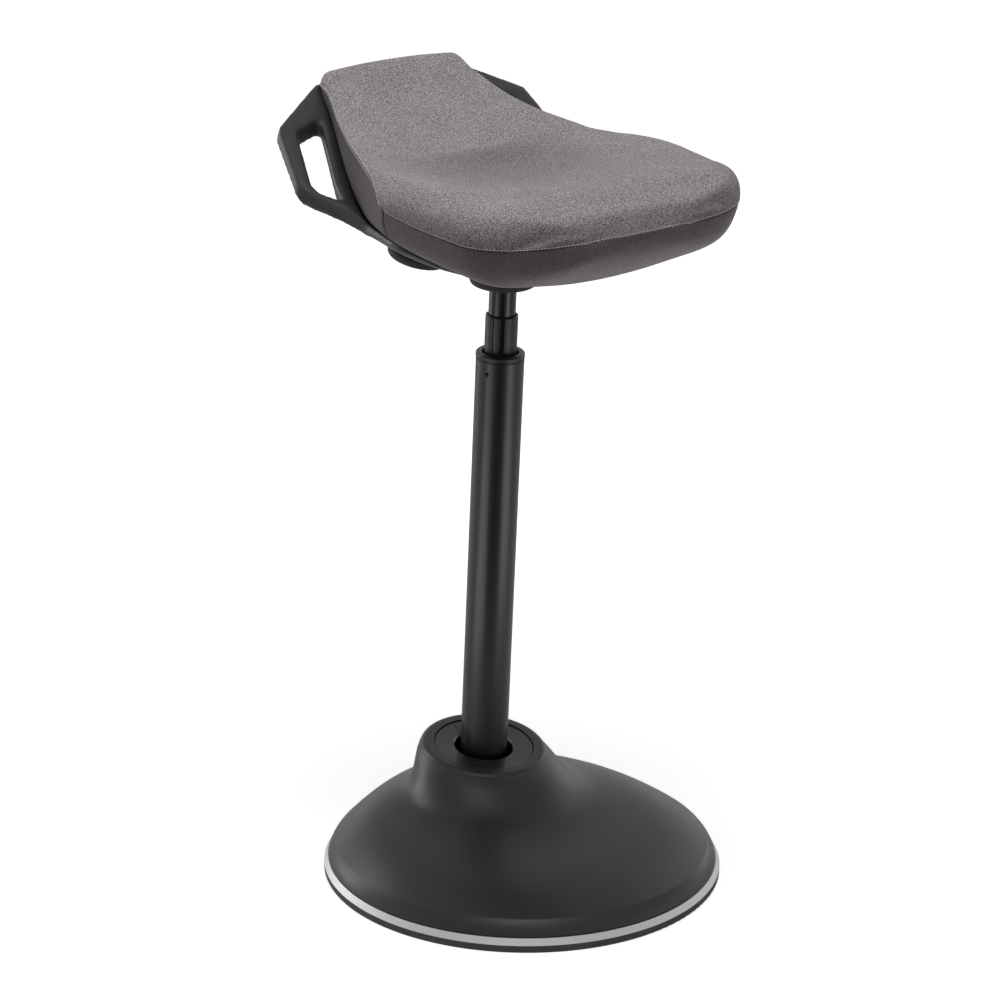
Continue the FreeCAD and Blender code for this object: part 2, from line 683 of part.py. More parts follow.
def hub_housing():
    hollow = revolved([(0, HUB_FLOOR), (HUB_LOW_R - HUB_WALL, HUB_FLOOR), (HUB_TOP_R - HUB_WALL, HUB_TOP + OVER),
                       (0, HUB_TOP + OVER)])
    hub = hub_bowl().cut(hollow).fuse(cylinder(HUB_SOCKET_R, HUB_BOTTOM, HUB_TOP))
    for x, y in hub_posts():
        hub = hub.fuse(cylinder(HUB_POST_R, HUB_BOTTOM, HUB_TOP, x, y))
    near, far = LEVER_EAR_Y
    for y in (near, -far):
        ear = Part.makeBox(2 * LEVER_EAR_HALF, far - near, LEVER_EAR_TOP - HUB_FLOOR + OVER,
                           Vector(LEVER_PIVOT[0] - LEVER_EAR_HALF, y, HUB_FLOOR - OVER))
        hub = hub.fuse(turn_lever(ear))
    hub = hub.cut(lever_gap(LEVER_SLOT_X, LEVER_SLOT_HALF)).cut(lever_gap(LEVER_ROOM_X, near))
    hub = hub.cut(turn_lever(cross_cylinder(LEVER_PIN_R, LEVER_PIN_HALF)))
    hub = hub.cut(cylinder(CYL_R, HUB_BOTTOM - OVER, HUB_TOP + OVER))
    for x, y in hub_posts():
        hub = hub.cut(cylinder(HUB_BOLT_R, HUB_BOTTOM, HUB_TOP, x, y))
        hub = hub.cut(cylinder(HUB_BOLT_HEAD_R, HUB_BOTTOM, HUB_BOTTOM + HUB_BOLT_HEAD_H, x, y))
    return lean(hub.removeSplitter())


def hub_bolts():
    bolts = []
    for x, y in hub_posts():
        shank = cylinder(HUB_BOLT_R, HUB_BOTTOM + HUB_BOLT_HEAD_H, HUB_BOLT_TOP, x, y)
        head = cylinder(HUB_BOLT_HEAD_R, HUB_BOTTOM, HUB_BOTTOM + HUB_BOLT_HEAD_H, x, y)
        key = [(x + a, y + b) for a, b in around(6, HUB_BOLT_R)]
        bolts.append(lean(shank.fuse(head).cut(prism(key, HUB_BOTTOM, HUB_BOTTOM + HUB_BOLT_KEY_H))))
    return Part.makeCompound(bolts)


def lever_pin():
    return lean(turn_lever(cross_cylinder(LEVER_PIN_R, LEVER_PIN_HALF)))


def lever_arm():
    corners = [Vector(x, -LEVER_HALF_W, z) for x, z in LEVER_OUTLINE]
    arm = Part.Face(Part.makePolygon(corners + corners[:1])).extrude(Vector(0, 2 * LEVER_HALF_W, 0))
    arm = arm.fuse(cross_cylinder(LEVER_SLEEVE_R, LEVER_HALF_W + LEVER_SLEEVE_SIDE))
    return arm.cut(cross_cylinder(LEVER_PIN_R + ROD_RUNNING, LEVER_PIN_HALF)).removeSplitter()


def quarter(centre_r, centre_z, radius, upward):
    """Quarter arc of a turned outline, from the lower end to the upper end."""
    diagonal = radius * math.sqrt(0.5)
    low = Vector(centre_r + (radius if upward else 0), 0, centre_z - (0 if upward else radius))
    high = Vector(centre_r + (0 if upward else radius), 0, centre_z + (radius if upward else 0))
    middle = Vector(centre_r + diagonal, 0, centre_z + (diagonal if upward else -diagonal))
    return Part.Arc(low, middle, high).toShape()


def paddle_puck():
    """Round puck with a deep round underside and a small round on top, about Z."""
    foot = Vector(0, 0, PADDLE_BOTTOM)
    head = Vector(0, 0, PADDLE_TOP)
    lower = quarter(PADDLE_R - PADDLE_ROUND, PADDLE_BOTTOM + PADDLE_ROUND, PADDLE_ROUND, False)
    upper = quarter(PADDLE_R - PADDLE_TOP_ROUND, PADDLE_TOP - PADDLE_TOP_ROUND, PADDLE_TOP_ROUND, True)
    edges = [Part.makeLine(foot, lower.valueAt(lower.FirstParameter)), lower,
             Part.makeLine(lower.valueAt(lower.LastParameter), upper.valueAt(upper.FirstParameter)), upper,
             Part.makeLine(upper.valueAt(upper.LastParameter), head), Part.makeLine(head, foot)]
    return Part.Face(Part.Wire(edges)).revolve(Vector(0, 0, 0), Vector(0, 0, 1), 360)


def lever_paddle():
    """Finger paddle moulded round the end of the arm: a round puck with a tapered root, tipped up."""
    root = [(PADDLE_ROOT_X, -PADDLE_ROOT_HALF), (PADDLE_ROOT_X, PADDLE_ROOT_HALF),
            (PADDLE_X, PADDLE_R - PADDLE_ROUND), (PADDLE_X, PADDLE_ROUND - PADDLE_R)]
    puck = paddle_puck()
    puck.translate(Vector(PADDLE_X, 0, 0))
    body = puck.fuse(prism(root, PADDLE_BOTTOM + PADDLE_ROUND / 2, PADDLE_TOP - PADDLE_TOP_ROUND))
    body.rotate(Vector(LEVER_PIVOT[0], 0, LEVER_PIVOT[1]), Vector(0, 1, 0), PADDLE_RISE)
    return body


# Seat

def crown_half(section):
    return section.half_width - CROWN_INSET - CROWN_SLOPE * (section.crown_z - section.seam_z)


def arc(y, first, middle, last):
    points = [Vector(x, y, z) for x, z in (first, middle, last)]
    return Part.Arc(*points).toShape()


def blend(low, high, along, up):
    return (low[0] + along * (high[0] - low[0]), low[1] + up * (high[1] - low[1]))


def cushion_wire(section, inset):
    """Closed outline of one cushion section: dish, rolls, drawn-in sides and belly."""
    y = section.y
    if section is CUSHION[0]:
        y += inset
    if section is CUSHION[-1]:
        y -= inset
    seam = (section.half_width - inset, section.seam_z)
    crown_in, edge_in, edge_up = (share * inset for share in INSET_SHARES)
    crown = (crown_half(section) - crown_in, section.crown_z - inset)
    dish = (0.0, section.dish_z - inset)
    edge = (section.edge_half - edge_in, section.edge_z + edge_up)
    belly = (0.0, section.belly_z + inset)
    roll_mid = blend(seam, crown, *ROLL_BLEND)
    side_mid = blend(edge, seam, *SIDE_BLEND)

    def mirrored(point):
        return (-point[0], point[1])

    edges = [
        arc(y, mirrored(crown), dish, crown),
        arc(y, crown, roll_mid, seam),
        arc(y, seam, side_mid, edge),
        arc(y, edge, belly, mirrored(edge)),
        arc(y, mirrored(edge), mirrored(side_mid), mirrored(seam)),
        arc(y, mirrored(seam), mirrored(roll_mid), mirrored(crown)),
    ]
    return Part.Wire(edges)


def cushion(inset):
    return Part.makeLoft([cushion_wire(s, inset) for s in CUSHION], True)


def between(y, field):
    """Value of a cushion section field at any place along the seat."""
    for low, high in zip(CUSHION, CUSHION[1:]):
        if low.y <= y <= high.y:
            share = (y - low.y) / (high.y - low.y)
            return getattr(low, field) + share * (getattr(high, field) - getattr(low, field))
    return getattr(CUSHION[-1], field)


def belly_at(y, x):
    """Height of the belly arc at a place under the seat."""
    half = between(y, "edge_half")
    rise = between(y, "edge_z") - between(y, "belly_z")
    radius = (half * half + rise * rise) / (2 * rise)
    return between(y, "belly_z") + radius - math.sqrt(radius * radius - x * x)


def trough_wire(y, half, side_low, mid_low, roof):
    """Outline of a trough section: a round bottom between two upright sides under a level top."""
    low_left = Vector(-half, y, side_low)
    low_right = Vector(half, y, side_low)
    top_left = Vector(-half, y, roof)
    top_right = Vector(half, y, roof)
    bottom = Part.Arc(low_left, Vector(0, y, mid_low), low_right).toShape()
    return Part.Wire([bottom, Part.makeLine(low_right, top_right), Part.makeLine(top_right, top_left),
                      Part.makeLine(top_left, low_left)])


def shell_trough():
    wires = []
    for rib in SHELL:
        side = belly_at(rib.y, min(rib.half_width, between(rib.y, "edge_half")))
        roof = side + SHELL_LIP
        wires.append(trough_wire(rib.y, rib.half_width, side - rib.side_drop,
                                 between(rib.y, "belly_z") - rib.belly_drop, roof))
    return Part.makeLoft(wires, True)


def line_height(line, y):
    """Height of a side-view line of (y, z) points at a place along the seat, its ends carried on."""
    pairs = list(zip(line, line[1:]))
    for (y0, z0), (y1, z1) in pairs:
        if y <= y1 or (y1, z1) == line[-1]:
            return z0 + (y - y0) * (z1 - z0) / (y1 - y0)


def loop_wire(rib, side):
    """Upright four-sided outline of a loop bar at one rib."""
    along = Vector(rib.outer[0] - rib.inner[0], rib.outer[1] - rib.inner[1], 0).normalize()
    low_x = rib.outer[0] + rib.flare * along.x
    low_y = rib.outer[1] + rib.flare * along.y
    corners = [
        Vector(side * rib.inner[0], rib.inner[1], line_height(LOOP_TOP, rib.inner[1])),
        Vector(side * rib.outer[0], rib.outer[1], line_height(LOOP_TOP, rib.outer[1])),
        Vector(side * low_x, low_y, line_height(LOOP_BOTTOM, low_y)),
        Vector(side * rib.inner[0], rib.inner[1], line_height(LOOP_BOTTOM, rib.inner[1])),
    ]
    return Part.makePolygon(corners + corners[:1])


def hand_loop(side):
    """One hand loop, standing out beside the raised back of the seat, with its post along the cushion."""
    wires = [loop_wire(rib, side) for rib in LOOP_RIBS]
    bars = [Part.makeLoft([near, far], True, True) for near, far in zip(wires, wires[1:])]
    post_low = min(z for y, z in LOOP_BOTTOM) - LOOP_POST_OVER
    post_high = LOOP_TOP[-1][1] + LOOP_POST_OVER
    post = prism([(side * x, y) for x, y in LOOP_POST], post_low, post_high)
    band_points = [Vector(0, y, z) for y, z in LOOP_TOP + LOOP_BOTTOM[::-1]]
    band = Part.Face(Part.makePolygon(band_points + band_points[:1])).extrude(Vector(side * FOOT_R, 0, 0))
    return post.common(band).fuse(bars)


def seat_shell():
    shell = shell_trough()
    for side in (-1, 1):
        shell = shell.fuse(hand_loop(side))
    shell = shell.fuse(cylinder(SHELL_BOSS_R, HUB_TOP, SHELL_BOSS_TOP))
    shell = shell.cut(cushion(0)).cut(mech_room())
    for x, y in hub_posts():
        shell = shell.cut(cylinder(HUB_BOLT_R, HUB_TOP - OVER, HUB_BOLT_TOP + OVER, x, y))
    return lean(shell)


def pan_trough():
    """Moulded pan inside the cushion: a trough that follows the belly, with its top lowered to a skin."""
    wires = []
    ys = [PAN_REACH[0]] + [s.y for s in CUSHION if PAN_REACH[0] < s.y < PAN_REACH[1]] + [PAN_REACH[1]]
    for y in ys:
        half = PAN_SHARE * between(y, "edge_half")
        low_side = belly_at(y, half) + PAN_GAP
        low_mid = between(y, "belly_z") + PAN_GAP
        left = Vector(-half, y, low_side)
        right = Vector(half, y, low_side)
        up = Vector(0, 0, PAN_H)
        bottom = Part.Arc(left, Vector(0, y, low_mid), right).toShape()
        top = Part.Arc(right + up, Vector(0, y, low_mid) + up, left + up).toShape()
        wires.append(Part.Wire([bottom, Part.makeLine(right, right + up), top, Part.makeLine(left + up, left)]))
    return Part.makeLoft(wires, True)


def mech_room():
    """Room above the hub for the gas spring's end and the inner end of the lever."""
    low, high = HUB_TOP - MECH_DROP, HUB_BOLT_TOP + MECH_RISE
    slot = Part.makeBox(MECH_SLOT_REACH, 2 * LEVER_EAR_Y[0], high - low,
                        Vector(-MECH_SLOT_REACH, -LEVER_EAR_Y[0], low))
    return cylinder(MECH_HOLE_R, low, high).fuse(turn_lever(slot)).removeSplitter()


def seat_pan():
    pan = pan_trough().common(cushion(COVER_CLOTH + PAN_CLEAR)).cut(mech_room())
    for x, y in hub_posts():
        pan = pan.cut(cylinder(HUB_BOLT_R, HUB_TOP, HUB_BOLT_TOP, x, y))
    return lean(pan)


def seat_foam():
    foam = cushion(COVER_CLOTH).cut(pan_trough()).cut(mech_room())
    for x, y in hub_posts():
        foam = foam.cut(cylinder(HUB_BOLT_R, HUB_TOP, HUB_BOLT_TOP, x, y))
    return lean(foam)


def seat_cover():
    wide, long, high = COVER_OPENING
    opening = Part.makeBox(wide, long, high, Vector(-wide / 2, -long / 2, HUB_TOP - high / 2))
    return lean(cushion(0).cut(cushion(COVER_CLOTH)).cut(opening))


PIECES = {
    "foot_pad": foot_pad,
    "base_plate": base_plate,
    "base_cover": base_cover,
    "cover_screws": cover_screws,
    "neck_collar": neck_collar,
    "bushing_cup": bushing_cup,
    "cup_bolts": cup_bolts,
    "clamp_ring": clamp_ring,
    "clamp_screws": clamp_screws,
    "rubber_bushing": rubber_bushing,
    "column_socket": column_socket,
    "column_tube": column_tube,
    "column_end_plate": column_end_plate,
    "column_cap": column_cap,
    "guide_bushing": guide_bushing,
    "guide_screws": guide_screws,
    "thrust_race_lower": thrust_race_lower,
    "thrust_balls": thrust_balls,
    "thrust_race_upper": thrust_race_upper,
    "piston_rod": piston_rod,
    "piston_head": piston_head,
    "rod_clip": rod_clip,
    "bump_stop": bump_stop,
    "gas_cylinder": gas_cylinder,
    "cylinder_gland": cylinder_gland,
    "release_pin": release_pin,
    "hub_housing": hub_housing,
    "hub_bolts": hub_bolts,
    "lever_pin": lever_pin,
    "seat_pan": seat_pan,
    "seat_shell": seat_shell,
    "seat_foam": seat_foam,
    "seat_cover": seat_cover,
}

for name, make in PIECES.items():
    export(name, make())

arm = lever_arm()
export("lever_arm", lean(turn_lever(arm)))
export("lever_paddle", lean(turn_lever(lever_paddle().cut(arm))))
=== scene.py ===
import logging
import math
from dataclasses import dataclass, field, fields
from enum import Enum
from typing import ClassVar, Iterable

import bmesh
import bpy
from mathutils import Matrix, Vector
from mathutils.bvhtree import BVHTree


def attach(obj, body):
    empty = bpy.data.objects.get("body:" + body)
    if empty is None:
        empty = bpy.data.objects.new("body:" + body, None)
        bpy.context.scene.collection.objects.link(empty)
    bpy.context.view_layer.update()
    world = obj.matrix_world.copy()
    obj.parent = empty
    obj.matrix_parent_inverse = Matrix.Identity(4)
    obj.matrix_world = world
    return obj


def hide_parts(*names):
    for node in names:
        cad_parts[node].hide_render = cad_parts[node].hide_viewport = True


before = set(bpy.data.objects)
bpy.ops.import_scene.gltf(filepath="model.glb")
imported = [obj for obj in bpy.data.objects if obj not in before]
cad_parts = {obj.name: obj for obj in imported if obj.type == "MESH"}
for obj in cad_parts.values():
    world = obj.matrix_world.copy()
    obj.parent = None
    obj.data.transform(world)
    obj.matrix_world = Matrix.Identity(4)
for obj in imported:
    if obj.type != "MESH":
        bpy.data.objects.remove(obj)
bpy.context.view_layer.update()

MM = 0.001
LOG = logging.getLogger("leaning_stool")
WHITE = (1.0, 1.0, 1.0, 1.0)
Flat = tuple[float, float]
Socket = bpy.types.NodeSocket
# Range that most of a noise's values lie in
NOISE_RANGE = (0.25, 0.75)
# Turn of a wave pattern of scale one, in radians to the metre
WAVE_TURN = 20.0


def linear(colour: str) -> tuple[float, float, float, float]:
    """Turns an sRGB hex colour into the linear values that a shader takes.

    Args:
        colour: Six hex digits with a leading hash.

    Returns:
        Linear red, green and blue, and an alpha of one.
    """
    shares = [int(colour[i:i + 2], 16) / 255 for i in (1, 3, 5)]
    low, high = 0.04045, 2.4
    values = [s / 12.92 if s <= low else ((s + 0.055) / 1.055) ** high for s in shares]
    return (values[0], values[1], values[2], 1.0)


@dataclass(frozen=True)
class Graph:
    """Nodes of one surface or of the surroundings, with the kinds that several of them share.

    Args:
        tree: Node tree of a material or of the world.
        end: Its shader, which takes what the nodes give.
    """

    tree: bpy.types.NodeTree
    end: bpy.types.Node

    def feed(self, feeds: dict, node: bpy.types.Node | None = None) -> None:
        """Gives inputs their values or their links.

        Args:
            feeds: Names or numbers of inputs, each with its value or with the socket that feeds it.
            node: Node that has the inputs, or none for the shader.
        """
        inputs = (node or self.end).inputs
        for name, value in feeds.items():
            if isinstance(value, Socket):
                self.tree.links.new(value, inputs[name])
            else:
                inputs[name].default_value = value

    def add(self, kind: str, feeds: dict, **settings: str | int) -> bpy.types.Node:
        """Adds one node.

        Args:
            kind: Type name of the node, without its common beginning.
            feeds: What its inputs take.
            settings: Properties of the node.

        Returns:
            The new node.
        """
        node = self.tree.nodes.new("ShaderNode" + kind)
        for name, value in settings.items():
            setattr(node, name, value)
        self.feed(feeds, node)
        return node

    def math(self, operation: str, *terms: float | Socket) -> Socket:
        """Returns the result of an operation on two or three terms."""
        return self.add("Math", dict(enumerate(terms)), operation=operation).outputs[0]

    def span(self, source: Socket, reads: Flat, gives: Flat) -> Socket:
        """Returns a source's values, with the two ends that are read turned into the two that are given."""
        ends = dict(zip(("From Min", "From Max", "To Min", "To Max"), reads + gives))
        return self.add("MapRange", {"Value": source, **ends}).outputs["Result"]

    def spread(self, pattern: Socket, middle: float, share: float) -> Socket:
        """Returns values that vary with a pattern about a middle, by a share of it each way."""
        return self.span(pattern, NOISE_RANGE, (middle * (1 - share), middle * (1 + share)))

    def placed(self, **turns: tuple[float, float, float]) -> Socket:
        """Returns Object coordinates, turned or scaled."""
        place = self.add("TexCoord", {}).outputs["Object"]
        return self.add("Mapping", {"Vector": place, **turns}).outputs["Vector"]

    def grain(self, size_mm: float, detail: float, stretch: float = 1.0) -> Socket:
        """Returns a fine grain of some width and detail, drawn out along the height by the stretch."""
        feeds = {"Vector": self.placed(Scale=(1.0, 1.0, 1.0 / stretch)), "Scale": 1 / (size_mm * MM)}
        return self.add("TexNoise", {**feeds, "Detail": detail}).outputs["Fac"]

    def tone(self, pattern: Socket, *stops: tuple[float, str]) -> Socket:
        """Colours a pattern.

        Args:
            pattern: Values from 0 to 1.
            stops: Place from 0 to 1 and sRGB hex colour of each stop.

        Returns:
            The colours.
        """
        ramp = self.add("ValToRGB", {"Fac": pattern})
        marks = ramp.color_ramp.elements
        while len(marks) < len(stops):
            marks.new(0.5)
        for mark, (place, colour) in zip(marks, stops):
            mark.position = place
            mark.color = linear(colour)
        return ramp.outputs["Color"]

    def relief(self, pattern: Socket, depth_mm: float, strength: float, **base: Socket) -> None:
        """Raises a pattern in the surface.

        Args:
            pattern: Heights from 0 to 1.
            depth_mm: Height of the crests.
            strength: How clearly they show.
            base: Direction of the surface under the pattern, where its edges are rounded.
        """
        feeds = {"Strength": strength, "Distance": depth_mm * MM, "Height": pattern}
        self.feed({"Normal": self.add("Bump", {**feeds, **base}).outputs["Normal"]})


class Weave(Enum):
    """Cloths of the seat."""

    MELANGE = "melange"
    PLAIN = "plain"


@dataclass(frozen=True)
class Finish:
    """What a surface is made of; each kind of finish adds its own pattern.

    Args:
        name: Material's common name and how its surface was made.
        colour: Main sRGB colour.
        roughness: Mean roughness of the surface.
    """

    name: str
    colour: str
    roughness: float
    # Share that a pattern varies the roughness by, and how clearly its relief shows
    gloss_share: ClassVar[float] = 0.1
    strength: ClassVar[float] = 0.4

    def material(self) -> bpy.types.Material:
        """Returns the material, made on its first use."""
        made = bpy.data.materials.get(self.name)
        if made is None:
            made = bpy.data.materials.new(self.name)
            made.use_nodes = True
            made.diffuse_color = linear(self.colour)
            self.shade(Graph(made.node_tree, made.node_tree.nodes["Principled BSDF"]))
        return made

    def shade(self, graph: Graph) -> None:
        """Sets the even colour and roughness, before any pattern."""
        graph.feed({"Base Color": linear(self.colour), "Roughness": self.roughness})


@dataclass(frozen=True)
class MouldedPlastic(Finish):
    """Thermoplastic from a spark-eroded mould: even, slightly pebbled, with soft wide highlights.

    Args:
        light: Colour of the grain's tops.
        grain_mm: Width of the moulded grain.
        depth_mm: Height of the moulded grain.
        round_mm: Radius that the mould leaves on edges.
        ior: Index of refraction.
        cloud_mm: Width of the slight mottling.
        grain_share: Weight of the grain in the mottling.
    """

    light: str
    grain_mm: float
    depth_mm: float
    round_mm: float
    ior: float
    cloud_mm: float = 60.0
    grain_share: float = 0.35
    gloss_share: ClassVar[float] = 0.12
    strength: ClassVar[float] = 0.5

    def shade(self, graph: Graph) -> None:
        """Adds the pebbled grain, its slight mottling and the rounded edges."""
        super().shade(graph)
        pebbles = graph.grain(self.grain_mm, detail=3.0)
        clouds = graph.grain(self.cloud_mm, detail=2.0)
        mottling = graph.math("MULTIPLY_ADD", pebbles, self.grain_share, clouds)
        graph.feed({"IOR": self.ior, "Roughness": graph.spread(pebbles, self.roughness, self.gloss_share),
                    "Base Color": graph.tone(mottling, (0.35, self.colour), (1.0, self.light))})
        edge = graph.add("Bevel", {"Radius": self.round_mm * MM}, samples=6)
        graph.relief(pebbles, self.depth_mm, self.strength, Normal=edge.outputs["Normal"])


@dataclass(frozen=True)
class CoatedSteel(Finish):
    """Steel under baked powder paint: a fine orange peel that breaks up long highlights.

    Args:
        light: Colour where the coat is thin.
        peel_mm: Width of the orange peel's waves.
        depth_mm: Height of the waves.
        coat: Weight of the clear top layer.
        coat_roughness: Roughness of that layer.
    """

    light: str
    peel_mm: float
    depth_mm: float
    coat: float
    coat_roughness: float = 0.18
    gloss_share: ClassVar[float] = 0.15
    strength: ClassVar[float] = 0.35

    def shade(self, graph: Graph) -> None:
        """Adds the orange peel and the top layer."""
        super().shade(graph)
        peel = graph.grain(self.peel_mm, detail=2.0)
        graph.feed({"Coat Weight": self.coat, "Coat Roughness": self.coat_roughness,
                    "Base Color": graph.tone(peel, (0.3, self.colour), (0.8, self.light)),
                    "Roughness": graph.spread(peel, self.roughness, self.gloss_share)})
        graph.relief(peel, self.depth_mm, self.strength)


@dataclass(frozen=True)
class BareMetal(Finish):
    """Metal that shows itself: plated, ground or cast, with fine lines or grains in its gloss.

    Args:
        light: Colour of the brighter grains.
        grain_mm: Size of the grain across the lines.
        stretch: How much longer than wide the grain is, along the height.
        depth_mm: Height of the grain.
        metallic: One for a bare metal, less under scale or paint.
    """

    light: str
    grain_mm: float
    stretch: float
    depth_mm: float
    metallic: float
    gloss_share: ClassVar[float] = 0.25

    def shade(self, graph: Graph) -> None:
        """Adds the drawn-out grain to the colour, the gloss and the relief."""
        super().shade(graph)
        lines = graph.grain(self.grain_mm, detail=3.0, stretch=self.stretch)
        graph.feed({"Metallic": self.metallic,
                    "Base Color": graph.tone(lines, (0.3, self.colour), (0.75, self.light)),
                    "Roughness": graph.spread(lines, self.roughness, self.gloss_share)})
        graph.relief(lines, self.depth_mm, self.strength)


@dataclass(frozen=True)
class DullBody(Finish):
    """Rubber, foam or paper: matt, with a dusty bloom that lightens it in patches.

    Args:
        bloom: Colour of the bloom.
        grain_mm: Width of the surface's grain.
        patch_mm: Width of the bloom's patches.
        depth_mm: Height of the grain.
        ior: Index of refraction.
    """

    bloom: str
    grain_mm: float
    patch_mm: float = 18.0
    depth_mm: float = 0.12
    ior: float = 1.52

    def shade(self, graph: Graph) -> None:
        """Adds the bloom's patches and a dull grain."""
        super().shade(graph)
        patches = graph.grain(self.patch_mm, detail=4.0)
        grit = graph.grain(self.grain_mm, detail=2.0)
        graph.feed({"IOR": self.ior, "Roughness": graph.spread(grit, self.roughness, self.gloss_share),
                    "Base Color": graph.tone(patches, (0.35, self.colour), (0.8, self.bloom))})
        graph.relief(grit, self.depth_mm, self.strength)


@dataclass(frozen=True)
class WovenCloth(Finish):
    """Wool-blend upholstery cloth: spun yarns of mixed shades, so it reads as one grey with a lively fleck.

    Args:
        dark: Colour of the darkest fibres.
        light: Colour of the lightest fibres.
        yarn_mm: Spacing of the yarns.
        fleck_mm: Length of one fleck; real flecks are about half as long and would not show in a picture.
        relief_mm: Height of the yarns.
        weave: Which cloth this is; the melange takes a painted shade in front of the seat's valley.
        shade_mm: Width of the broad, faint shades in the dye.
        shade_level: Middle of these shades, and the share that they vary by.
        fleck_share: Weight of the flecks beside those shades.
        yarn_turn: Turn of the yarns to the seat about its axes, in radians.
        yarn_wobble: How far the yarns stray.
        yarn_share: Height of the crossing yarns beside that of the flecks.
    """

    dark: str
    light: str
    yarn_mm: float
    fleck_mm: float
    relief_mm: float
    weave: Weave
    shade_mm: float = 45.0
    shade_level: Flat = (0.075, 0.1)
    fleck_share: float = 0.85
    yarn_turn: tuple[float, float, float] = (0.35, 0.35, math.radians(8))
    yarn_wobble: float = 1.2
    yarn_share: float = 0.35
    strength: ClassVar[float] = 0.7

    def shade(self, graph: Graph) -> None:
        """Adds the flecks, the crossing yarns, the fibres' soft sheen and, on the melange, the painted shade
        in front of the valley.
        """
        super().shade(graph)
        flecks = graph.grain(self.fleck_mm, detail=2.0)
        shades = graph.spread(graph.grain(self.shade_mm, detail=2.0), *self.shade_level)
        mixed = graph.math("MULTIPLY_ADD", flecks, self.fleck_share, shades)
        colour = graph.tone(mixed, (0.38, self.dark), (0.5, self.colour), (0.62, self.light))
        # Painted shade: the melange is darkened in front of the seat's valley by the share kept on each
        # vertex.
        if self.weave is Weave.MELANGE:
            painted_shade = graph.add("Attribute", {}, attribute_name="painted_shade").outputs["Fac"]
            unshaded_share = graph.math("SUBTRACT", 1.0, painted_shade)
            colour = graph.add("HueSaturation", {"Color": colour, "Value": unshaded_share}).outputs["Color"]
        graph.feed({"IOR": 1.5, "Specular IOR Level": 0.2, "Sheen Weight": 0.06, "Sheen Roughness": 0.5,
                    "Base Color": colour})
        yarn = {"Vector": graph.placed(Rotation=self.yarn_turn), "Distortion": self.yarn_wobble,
                "Scale": math.tau / (WAVE_TURN * self.yarn_mm * MM)}
        yarns = [graph.add("TexWave", yarn, bands_direction=way).outputs["Fac"] for way in ("X", "Y")]
        surface = graph.math("MULTIPLY_ADD", graph.math("MULTIPLY", *yarns), self.yarn_share, flecks)
        graph.relief(surface, self.relief_mm, self.strength)


@dataclass(frozen=True)
class SewingThread(Finish):
    """Bonded polyester thread: two twisted plies that catch the light at each turn.

    Args:
        light: Colour of the plies' crests.
        ply_mm: Length of one turn of the twist.
        sheen: Weight of the fibres' sheen.
    """

    light: str
    ply_mm: float
    sheen: float = 0.1

    def shade(self, graph: Graph) -> None:
        """Adds the twist to the colour."""
        super().shade(graph)
        twist = graph.grain(self.ply_mm, detail=1.0)
        graph.feed({"Sheen Weight": self.sheen,
                    "Base Color": graph.tone(twist, (0.35, self.colour), (0.65, self.light))})


@dataclass(frozen=True)
class StudioPaint(Finish):
    """Matt white floor paint with light of its own, less of it near the stool, where a soft shadow stays.

    Args:
        lift: Light that it adds near the stool for the camera.
        gloss: Light that it adds in reflections.
        fade: Distances from the middle between which the light for the camera grows to one, in metres.
    """

    lift: float
    gloss: float
    fade: Flat = (0.4, 1.3)

    def shade(self, graph: Graph) -> None:
        """Adds the light."""
        super().shade(graph)
        rays = graph.add("LightPath", {}).outputs
        place = graph.add("TexCoord", {}).outputs["Object"]
        out = graph.add("VectorMath", {0: place}, operation="LENGTH").outputs["Value"]
        direct = graph.math("MAXIMUM", rays["Is Camera Ray"], rays["Is Transmission Ray"])
        shown = graph.math("MULTIPLY", direct, graph.span(out, self.fade, (self.lift, 1.0)))
        glow = graph.math("MULTIPLY_ADD", rays["Is Glossy Ray"], self.gloss, shown)
        graph.feed({"Specular IOR Level": 0.0, "Emission Color": WHITE, "Emission Strength": glow})


# Textured polyamide with glass fibre: dark, satin, with a grey cast where light grazes it
SHELL_PLASTIC = MouldedPlastic("glass_filled_polyamide_moulded", "#2a2c2d", 0.40,
                               "#333536", 0.8, 0.04, 3.0, 1.53)
# Same polyamide on the hub and the paddle, from a coarser and duller mould, so nearly black
HUB_PLASTIC = MouldedPlastic("glass_filled_polyamide_moulded_matt", "#111213", 0.66,
                             "#171819", 0.9, 0.04, 1.2, 1.50)
# Polypropylene of the foot cover: finer texture, broad soft gradients over the dome
COVER_PLASTIC = MouldedPlastic("polypropylene_moulded_fine_texture", "#262626", 0.36,
                               "#2e2e2e", 0.6, 0.03, 1.0, 1.49)
# ABS of the neck collar: polished mould, so a brighter and tighter highlight
COLLAR_PLASTIC = MouldedPlastic("abs_moulded_semi_gloss", "#242424", 0.26, "#2a2a2a", 0.9, 0.015, 0.8, 1.54)
# Acetal sleeve and cap: turned and polished by sliding, slightly waxy
GUIDE_PLASTIC = MouldedPlastic("acetal_moulded_satin", "#2a2b2a", 0.38, "#323332", 0.7, 0.02, 0.6, 1.48)
# Column tube: black powder coat, satin, with straight vertical highlights
COLUMN_PAINT = CoatedSteel("steel_tube_powder_coated_satin", "#1b1b1b", 0.33, "#202020", 1.4, 0.03, 0.1)
# Gas spring: black stoved paint, glossier than the tube
SPRING_PAINT = CoatedSteel("gas_spring_stoved_black", "#181818", 0.24, "#1d1d1d", 1.1, 0.015, 0.2)
# Foot plate: zinc-nickel plate on turned steel, a bright line above the rubber
PLATE_METAL = BareMetal("steel_plate_turned_zinc_plated", "#cfd0d1", 0.55, "#dcddde", 1.2, 0.5, 0.02, 1.0)
# Screws, pins, balls and rods: plated or ground steel with fine lines
FASTENER_STEEL = BareMetal("steel_ground_and_plated", "#9c9d9f", 0.28, "#b6b7b9", 0.5, 6.0, 0.008, 1.0)
